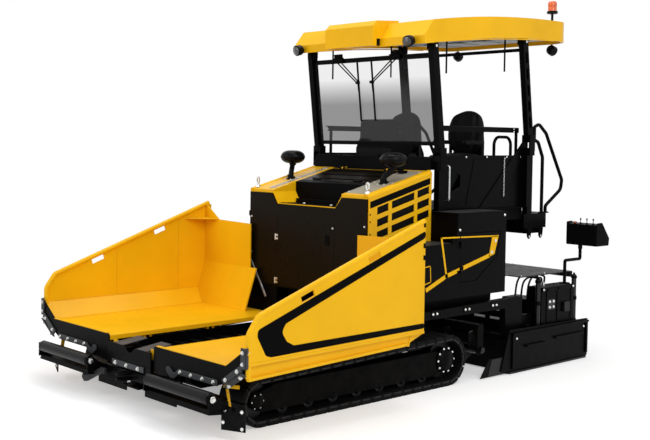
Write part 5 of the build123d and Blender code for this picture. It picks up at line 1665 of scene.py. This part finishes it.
@dataclass
class TrackDetail(SidePart):
    """Rubber pads, links, hubs and bolts of one crawler track."""

    inner: float = 0.93
    width: float = 0.305
    idler: tuple[float, float] = (-2.17, 0.21)
    sprocket: tuple[float, float] = (0.27, 0.25)
    steps = ("hubs", "shoes")

    def hubs(self) -> None:
        """Idler hub, final drive cover and roller caps on the outer side."""
        out = self.inner + self.width - 0.068
        cover = self.piece("final_drive", BLACK)
        along, up = self.sprocket
        cover.turned((out - 0.002, along, up), (out + 0.058, along, up), ((0, 0.125), (0.35, 0.125),
            (0.45, 0.11), (0.75, 0.095), (0.9, 0.06), (1, 0.05)), 48)
        along, up = self.idler
        cover.turned((out - 0.002, along, up), (out + 0.035, along, up), ((0, 0.075), (0.5, 0.075),
            (0.8, 0.055), (1, 0.04)), 36)
        for index in range(7):
            place = self.idler[0] + 0.31 + index * (self.sprocket[0] - self.idler[0] - 0.62) / 6
            cover.puck((out - 0.018, place, 0.1185), (out + 0.008, place, 0.1185), 0.03, 0.022, 0.7, 20)
        cover.done(0.001)
        bolts = self.piece("hub_bolts", ZINC)
        along, up = self.sprocket
        bolts.bolts(((out + 0.022, along + a, up + b) for a, b in circle(0.116, 10)), X, 0.009)
        along, up = self.idler
        bolts.bolts(((out + 0.017, along + a, up + b) for a, b in circle(0.062, 6)), X, 0.007).done()

    def belt(self, travel: float) -> tuple[float, float, float]:
        """Place and heading on the track's outer face.

        Args:
            travel: Distance along the face from the idler's foot.

        Returns:
            The place (y, z) and the heading in radians.
        """
        run = self.sprocket[0] - self.idler[0]
        rise = 2 * atan2(self.sprocket[1] - self.idler[1], run)
        if travel < run:
            return (self.idler[0] + travel, 0, 0)
        travel -= run
        radius = self.sprocket[1]
        if travel < (pi + rise) * radius:
            turn = travel / radius
            return (self.sprocket[0] + radius * sin(turn), radius * (1 - cos(turn)), turn)
        travel -= (pi + rise) * radius
        if travel < run:
            turn = pi + rise
            return (self.sprocket[0] + radius * sin(turn) + travel * cos(turn), radius * (1 - cos(turn))
                + travel * sin(turn), turn)
        radius = self.idler[1]
        turn = pi + rise + (travel - run) / radius
        return (self.idler[0] + radius * sin(turn), radius * (1 - cos(turn)), turn)

    def shoes(self) -> None:
        """Link plates and bolt heads on the inner face of every shoe."""
        run = self.sprocket[0] - self.idler[0]
        rise = 2 * atan2(self.sprocket[1] - self.idler[1], run)
        length = 2 * run + (pi + rise) * self.sprocket[1] + (pi - rise) * self.idler[1]
        count = round(length / 0.14)
        links = self.piece("track_links", STEEL)
        pads = self.piece("track_pad_ends", RUBBER)
        for shoe in range(count):
            along, up, turn = self.belt((shoe + 1) * length / count)
            ahead = Vector((0, cos(turn), sin(turn)))
            inward = Vector((0, -sin(turn), cos(turn)))
            for across in (self.inner - 0.001, self.inner + self.width + 0.001):
                base = Vector((across, along, up)) + inward * 0.02
                pads.slab(base, ahead, inward, (0.085, 0.016, 0.004))
                links.slab(base + inward * 0.0235, ahead, inward, (0.1, 0.016, 0.005)).collar(base + inward
                    * 0.0235 - Vector((0.0045, 0, 0)), base + inward * 0.0235 + Vector((0.0045, 0, 0)),
                    0.0075, 0.006, 10)
        links.done(0.0008)
        pads.done(0.001)


@dataclass
class ScreedSide(SidePart):
    """Covers, ribs, hoses, tubes, end plate and remote-control box of one side of the screed."""

    home = "screed_extension_"
    half: float = 1.24
    steps = ("box", "spindles", "end_plate", "remote", "tow_arm", "hoses")

    def box(self) -> None:
        """Grey covers, side ribs and bolts of the extension's hydraulics box."""
        self.piece("extension_covers", WALKWAY).block((1.05, 1.83, 0.84), (1.222, 2.12, 0.843)).block((1.05,
            2.14, 0.84), (1.222, 2.31, 0.843)).block((0.52, 2.11, 0.64), (1.035, 2.37, 0.643)).done(0.001)
        self.piece("extension_ribs", BLACK).blocks(*(((1.23, along, 0.43), (1.237, along + 0.03, 0.83))
            for along in (1.9, 2.1, 2.36))).blocks(((1.23, 1.815, 0.8), (1.237, 2.417, 0.838)),
            ((1.23, 1.815, 0.43), (1.237, 2.417, 0.462))).done(0.0015)
        self.piece("extension_bolts", ZINC).bolts(((1.2372, along, 0.82) for along in (1.84, 2.4)), X,
            0.01).bolts(((1.234, along, up) for along, up in ((1.96, 0.62), (1.96, 0.68), (2.03, 0.62),
            (2.03, 0.68))), X, 0.012).done()
        self.piece("extension_plate", DASH_GREY).block((1.23, 1.935, 0.595), (1.2342, 2.055,
            0.705)).done(0.001)
        self.piece("valve_block", CAST).block((1.23, 2.21, 0.55), (1.26, 2.31, 0.66)).done(0.003)

    def spindles(self) -> None:
        """Bright height tubes with their collars and the six-sided caps on top."""
        tubes = self.piece("height_tubes", STEEL)
        collars = self.piece("height_collars", BLACK_DULL)
        across = self.half - 0.034
        for along in (1.776, 2.462):
            tubes.turned((across, along, 0.421), (across, along, 0.94), ((0, 0.0275), (0.55, 0.0275),
                (0.56, 0.0265), (0.985, 0.0265), (1, 0.024)), 28)
            for low, high in ((0.421, 0.445), (0.66, 0.70), (0.90, 0.925)):
                collars.collar((across, along, low), (across, along, high), 0.0335, 0.032, 28)
            collars.puck((across, along, 0.94), (across, along, 0.962), 0.013, 0.01, 0.6, 6)
        tubes.done()
        collars.done()

    def end_plate(self) -> None:
        """Upper rail, ledges, stiffeners and wear edge of the end plate."""
        face = 1.286
        self.piece("end_plate_rails", BLACK).blocks(*(((face, start, up), (face + 0.028, end, up + 0.022))
            for start, end, up in ((1.21, 2.62, 0.405), (1.45, 1.8, 0.255), (1.98, 2.52,
            0.285)))).blocks(((face, 1.215, 0.05), (face + 0.018, 1.245, 0.425)), ((face, 2.585, 0.06),
            (face + 0.018, 2.615, 0.425))).done(0.002)
        self.piece("end_plate_runner", STEEL).block((face - 0.02, 1.16, 0.004), (face + 0.022, 2.58,
            0.022)).done(0.003)
        self.piece("end_plate_bolts", ZINC).bolts(((face, along, up) for along, up in ((1.3, 0.36),
            (2.55, 0.36))), X, 0.01).done()
        self.piece("spill_sheet", STEEL).prism(Plane.SIDE, ((0.84, 0.016), (1.125, 0.016), (1.092, 0.185),
            (0.9, 0.185)), 1.2702, 1.2735).done(0.0008)

    def remote(self) -> None:
        """Switches, knob, display and guard rim of the remote-control box."""
        body = "remote_panel_"
        slope = Vector((0, 0.163, -0.182)).normalized()
        out = Vector((0, 0.182, 0.163)).normalized()
        middle = Vector((1.21, 2.7615, 1.421))
        self.piece("remote_face", DASH_GREY, body).slab(middle + out * 0.001, X, slope,
            (0.34, 0.2, 0.003)).done(0.001)
        self.piece("remote_keys", GASKET, body).each(Piece.slab,
            ((middle + Vector((-0.135 + 0.054 * column, 0, 0)) + slope * (-0.03 + 0.045 * row) + out * 0.005,
            X, slope, (0.026, 0.026, 0.007)) for column in range(6) for row in range(3))).done(0.002)
        self.piece("remote_screen", DARK_GLASS, body).slab(middle - slope * 0.075 + out * 0.003, X, slope,
            (0.12, 0.034, 0.004)).done(0.001)
        knob = self.piece("remote_knob", ORANGE, body)
        seat = Vector((1.1, 2.62, 1.5045))
        knob.turned(seat, seat + Z * 0.022, ((0, 0.012), (0.4, 0.012), (0.45, 0.021), (0.85, 0.021),
            (1, 0.016)), 24).done()
        levers = self.piece("remote_levers", PLASTIC, body)
        for across in (1.17, 1.25, 1.33):
            root = Vector((across, 2.625, 1.504))
            levers.turned(root, root + Z * 0.014, ((0, 0.014), (0.6, 0.012), (1, 0.007)), 16).rod(root,
                root + Z * 0.045, 0.004).turned(root + Z * 0.04, root + Z * 0.065, ((0, 0.006), (0.5, 0.009),
                (1, 0.005)), 14)
        levers.done()
        self.piece("remote_rim", BLACK_DULL, body).each(Piece.prism,
            ((Plane.SIDE, softened(((2.581, 1.262), (2.581, 1.522), (2.69, 1.526), (2.8415, 1.345),
            (2.8315, 1.262)), 0.02), across, across - 0.005 if across > 1.2 else across + 0.005)
            for across in (1.0155, 1.4045))).done(0.001)

    def tow_arm(self) -> None:
        """Pins, plates and bolts on a tow arm."""
        self.piece("tow_pins", ZINC, "screed").each(Piece.puck, (((across, -0.35, 0.705),
            (across + 0.006 * out, -0.35, 0.705), 0.052, 0.046, 0.6, 28) for across, out in ((1.1735, 1),
            (1.0965, -1)))).done()
        plates = self.piece("tow_plates", BLACK, "screed")
        for along in (0.05, 0.55, 1.0):
            rise = 0.705 + (along + 0.35) * 0.0135
            plates.block((1.173, along, rise - 0.03), (1.178, along + 0.11, rise + 0.045))
        plates.done(0.002)
        self.piece("tow_bolts", ZINC, "screed").bolts(((1.178, along, 0.72) for along in (0.075, 0.135, 0.575,
            0.635, 1.025, 1.085)), X, 0.01).done()

    def hoses(self) -> None:
        """Hydraulic hoses looped over the extension's box, with their fittings."""
        for index, (start, peak) in enumerate(((0.64, 0.93), (0.72, 0.90), (0.80, 0.94))):
            self.pipe("box_hose", HOSE, ((start, 2.16, 0.64), (start, 2.16, 0.80), (start + 0.10, 2.14, peak),
                (start + 0.25, 2.10, peak), (1.065 + 0.03 * index, 2.02, 0.93), (1.08 + 0.03 * index, 1.97,
                0.84)), 0.011, sides=4, mark=f"_{index}")
        fittings = self.piece("hose_fittings", ZINC)
        for index, start in enumerate((0.64, 0.72, 0.80)):
            fittings.puck((start, 2.16, 0.643), (start, 2.16, 0.69), 0.016, 0.013, 0.6,
                6).puck((1.08 + 0.03 * index, 1.97, 0.843), (1.08 + 0.03 * index, 1.97, 0.885), 0.014, 0.012,
                0.6, 6)
        fittings.done()


@dataclass
class Walkway:
    """Chequer covers and screws of the screed's walkway."""

    def build(self) -> None:
        """Dresses the walkway."""
        Piece("walkway_covers", WALKWAY, "screed").blocks(*(((start, 1.635, 0.96), (end, 2.575, 0.963))
            for start, end in ((-1.09, -0.38), (-0.365, 0.365), (0.38, 1.09)))).done(0.001)
        Piece("walkway_screws", ZINC, "screed").bolts(((across, along, 0.963) for across in (-1.06, -0.42,
            -0.32, 0.32, 0.42, 1.06) for along in (1.67, 2.1, 2.54)), Z, 0.009).done()


@dataclass
class StationSide(SidePart):
    """Panel, rail, chain, handrail clamps and deck arms on one side of the station."""

    panel: float = 0.845
    steps = ("side_panel", "rail", "chain", "brackets", "deck_arms")

    def side_panel(self) -> None:
        """Pressed ribs, window edge, grab handle and screws of a side panel."""
        x = self.panel
        self.piece("panel_ribs", BLACK).blocks(((x, 0.56, 2.235), (x + 0.006, 1.93, 2.268)),
            ((x, 0.56, 1.712), (x + 0.006, 1.16, 1.74))).prism(Plane.SIDE, ((0.96, 1.75), (0.99, 1.75),
            (1.12, 2.23), (1.09, 2.23)), x, x + 0.005).done(0.002)
        edge = self.piece("panel_window_edge", GASKET)
        outline = ((0.7, 1.905), (0.83, 2.075), (0.87, 2.075), (0.87, 1.94), (0.72, 1.88))
        for start, end in zip(outline, outline[1:] + outline[:1]):
            run = Vector(end) - Vector(start)
            middle = (Vector(start) + Vector(end)) / 2
            edge.slab((x + 0.0015, *middle), Vector((0, *run)), X, (run.length + 0.008, 0.004, 0.01))
        edge.done(0.001)
        self.piece("panel_screws", ZINC).bolts(((x + 0.006, along, 2.252) for along in (0.6, 0.95, 1.3, 1.65,
            1.9)), X, 0.008).done()
        self.pipe("grab_handle", GALVANISED, ((x, 0.62, 1.8), (x + 0.055, 0.62, 1.8), (x + 0.055, 0.62, 2.16),
            (x, 0.62, 2.16)), 0.0115, 0.03)

    def rail(self) -> None:
        """Padded top, end caps and clamps of the guard rail."""
        x = self.panel - 0.04
        self.piece("rail_cap", PLASTIC).block((x - 0.011, 0.5, 2.566), (x + 0.011, 1.91, 2.5765)).done(0.004)
        self.piece("rail_clamps", ZINC).bolts(((x + 0.008, along, up) for along in (0.545, 1.825)
            for up in (2.528, 2.558)), X, 0.008).done()
        self.piece("rail_feet", BLACK_DULL).each(Piece.puck, (((x, along, 1.7), (x, along, 1.712), 0.034,
            0.03, 0.7, 24) for along in (0.52, 1.875))).each(Piece.puck, (((x - 0.06, along, 1.7),
            (x - 0.06, along, 1.712), 0.034, 0.03, 0.7, 24) for along in (1.56, 1.86))).done()

    def chain(self) -> None:
        """A short safety chain that hangs down the outside of the panel from the rail."""
        chain = self.piece("safety_chain", ZINC)
        for link in range(26):
            centre = Vector((self.panel + 0.0145, 1.6, 2.222 - 0.0155 * link))
            first = Y if link % 2 else X
            ring = []
            for a, b in circle(1, 12):
                spot = centre + first * 0.0052 * a + Z * 0.0105 * b
                normal = first * a + Z * b
                ring.append([chain.mesh.verts.new(spot + normal * c + first.cross(Z) * d) for c,
                    d in circle(0.0019, 6)])
            chain.skin(ring, True)
        chain.puck((self.panel + 0.004, 1.6, 2.238), (self.panel + 0.02, 1.6, 2.238), 0.006, 0.009, 0.8,
            12).done(smooth=80)

    def brackets(self) -> None:
        """Clamps and feet of the access handrails."""
        across = 0.885
        self.piece("handrail_clamps", BLACK_DULL).puck((across, 2.345, 1.62), (across, 2.345, 1.634), 0.04,
            0.035, 0.7, 24).puck((across, 2.27, 1.62), (across, 2.27, 1.634), 0.036, 0.03, 0.7,
            24).each(Piece.rod, (((across, *start), (across, *end), 0.01) for start,
            end in (((2.12, 2.446), (2.12, 2.586)),))).done()

    def deck_arms(self) -> None:
        """Arms and pins under the rear deck."""
        self.piece("deck_arms", BLACK).each(Piece.prism,
            ((Plane.SIDE, softened(((along, 1.455), (along + 0.09, 1.455), (along + 0.075, 1.36),
            (along + 0.045, 1.33), (along + 0.015, 1.36)), 0.01), 0.862, 0.876) for along in (2.02,
            2.24))).done(0.002)
        self.piece("deck_pins", ZINC).each(Piece.puck, (((0.872, along + 0.045, 1.36), (0.885, along + 0.045,
            1.36), 0.014, 0.01, 0.7, 18) for along in (2.02, 2.24))).done()


@dataclass
class Station(Assembly):
    """Dash, floor and rear step box of the operator's station."""

    steps = ("dash", "floor", "rear_box")

    def dash(self) -> None:
        """Covers, seams and bolts on the bulkhead's shelf."""
        Piece("dash_cover", PLASTIC).block((-0.82, 0.386, 2.2502), (-0.42, 0.41, 2.254)).block((0.42, 0.386,
            2.2502), (0.82, 0.41, 2.254)).done(0.0015)
        Piece("bulkhead_seams", GASKET).blocks(*(((across - 0.0015, 0.3842, 2.12), (across + 0.0015, 0.385,
            2.245)) for across in (-0.42, 0, 0.42))).done()
        Piece("slide_bolts", ZINC).bolts(((across, 0.437, 2.17) for across in (-0.74, -0.5, 0.5, 0.74)), Y,
            0.01).done()

    def floor(self) -> None:
        """Ribbed rubber mat and toe strips."""
        Piece("floor_mat", FLOOR_MAT).block((-0.82, 0.46, 1.7), (0.82, 1.93, 1.7035)).done(0.002)
        Piece("step_nosing", GALVANISED).block((-0.8, 1.935, 1.7), (0.8, 1.9495, 1.706)).block((-0.8, 2.35,
            1.62), (0.8, 2.3695, 1.625)).done(0.001)

    def rear_box(self) -> None:
        """Tread, drawer lines and latches of the rear step box."""
        Piece("rear_step_tread", WALKWAY).block((-0.8, 1.965, 1.62), (0.8, 2.34, 1.6235)).done(0.001)
        Piece("rear_box_doors", BLACK).blocks(*(((start, 2.37, 1.475), (end, 2.376, 1.6)) for start,
            end in ((-0.84, -0.3), (-0.27, 0.27), (0.3, 0.84)))).done(0.002)
        Piece("rear_box_latches", ZINC).each(Piece.slab, (((across, 2.3785, 1.575), X, Z, (0.06, 0.02, 0.005))
            for across in (-0.57, 0, 0.57))).done(0.0015)


@dataclass
class CylinderDetail(SidePart):
    """Gland nut and ports of a hopper cylinder."""

    foot: Flat = (0.56, 0.25)
    eye: Flat = (0.84, 0.53)
    along: float = -1.0

    def build(self) -> None:
        """Dresses the cylinder."""
        run = (Vector(self.eye) - Vector(self.foot)).normalized()
        gland = self.piece("cylinder_gland", ZINC, "hopper_cylinder_")
        for low, high, radius in ((0.258, 0.284, 0.0405), (0.03, 0.05, 0.0395)):
            start, end = (Vector(self.foot) + run * distance for distance in (low, high))
            gland.collar((start.x, self.along, start.y), (end.x, self.along, end.y), radius, radius * 0.95,
                28)
        gland.done()
        ports = self.piece("cylinder_ports", BLACK_DULL, "hopper_cylinder_")
        for distance in (0.07, 0.235):
            base = Vector(self.foot) + run * distance
            ports.puck((base.x, self.along + 0.035, base.y), (base.x, self.along + 0.056, base.y), 0.013,
                0.009, 0.6, 6)
        ports.done()


def main() -> None:
    """Builds the studio and every sub-assembly in order."""
    front_line = FoldFrame((0.48, 2.31), "front_posts")
    rear_line = FoldFrame((1.995, 2.46), "rear_posts")
    sides = tuple(Side)
    parts = (Studio(), Bodywork(), *map(TrackDetail, sides), *map(HopperWing, sides), NoseTrim(),
        *map(NoseCover, sides), *map(PushRoller, sides), *map(CylinderDetail, sides), *map(HoodSide, sides),
        EngineHood(), *map(SideBody, sides), Station(), *map(StationSide, sides), ControlConsole(),
        *map(DriverSeat, sides), Windscreen(front_line), RoofTrim(), *map(ScreedSide, sides), Walkway())
    for part in parts:
        part.build()
        log.info("%s built", type(part).__name__)
    rear_line.pins()


if __name__ == "__main__":
    logging.basicConfig(level=logging.INFO, format="%(name)s: %(message)s")
    main()
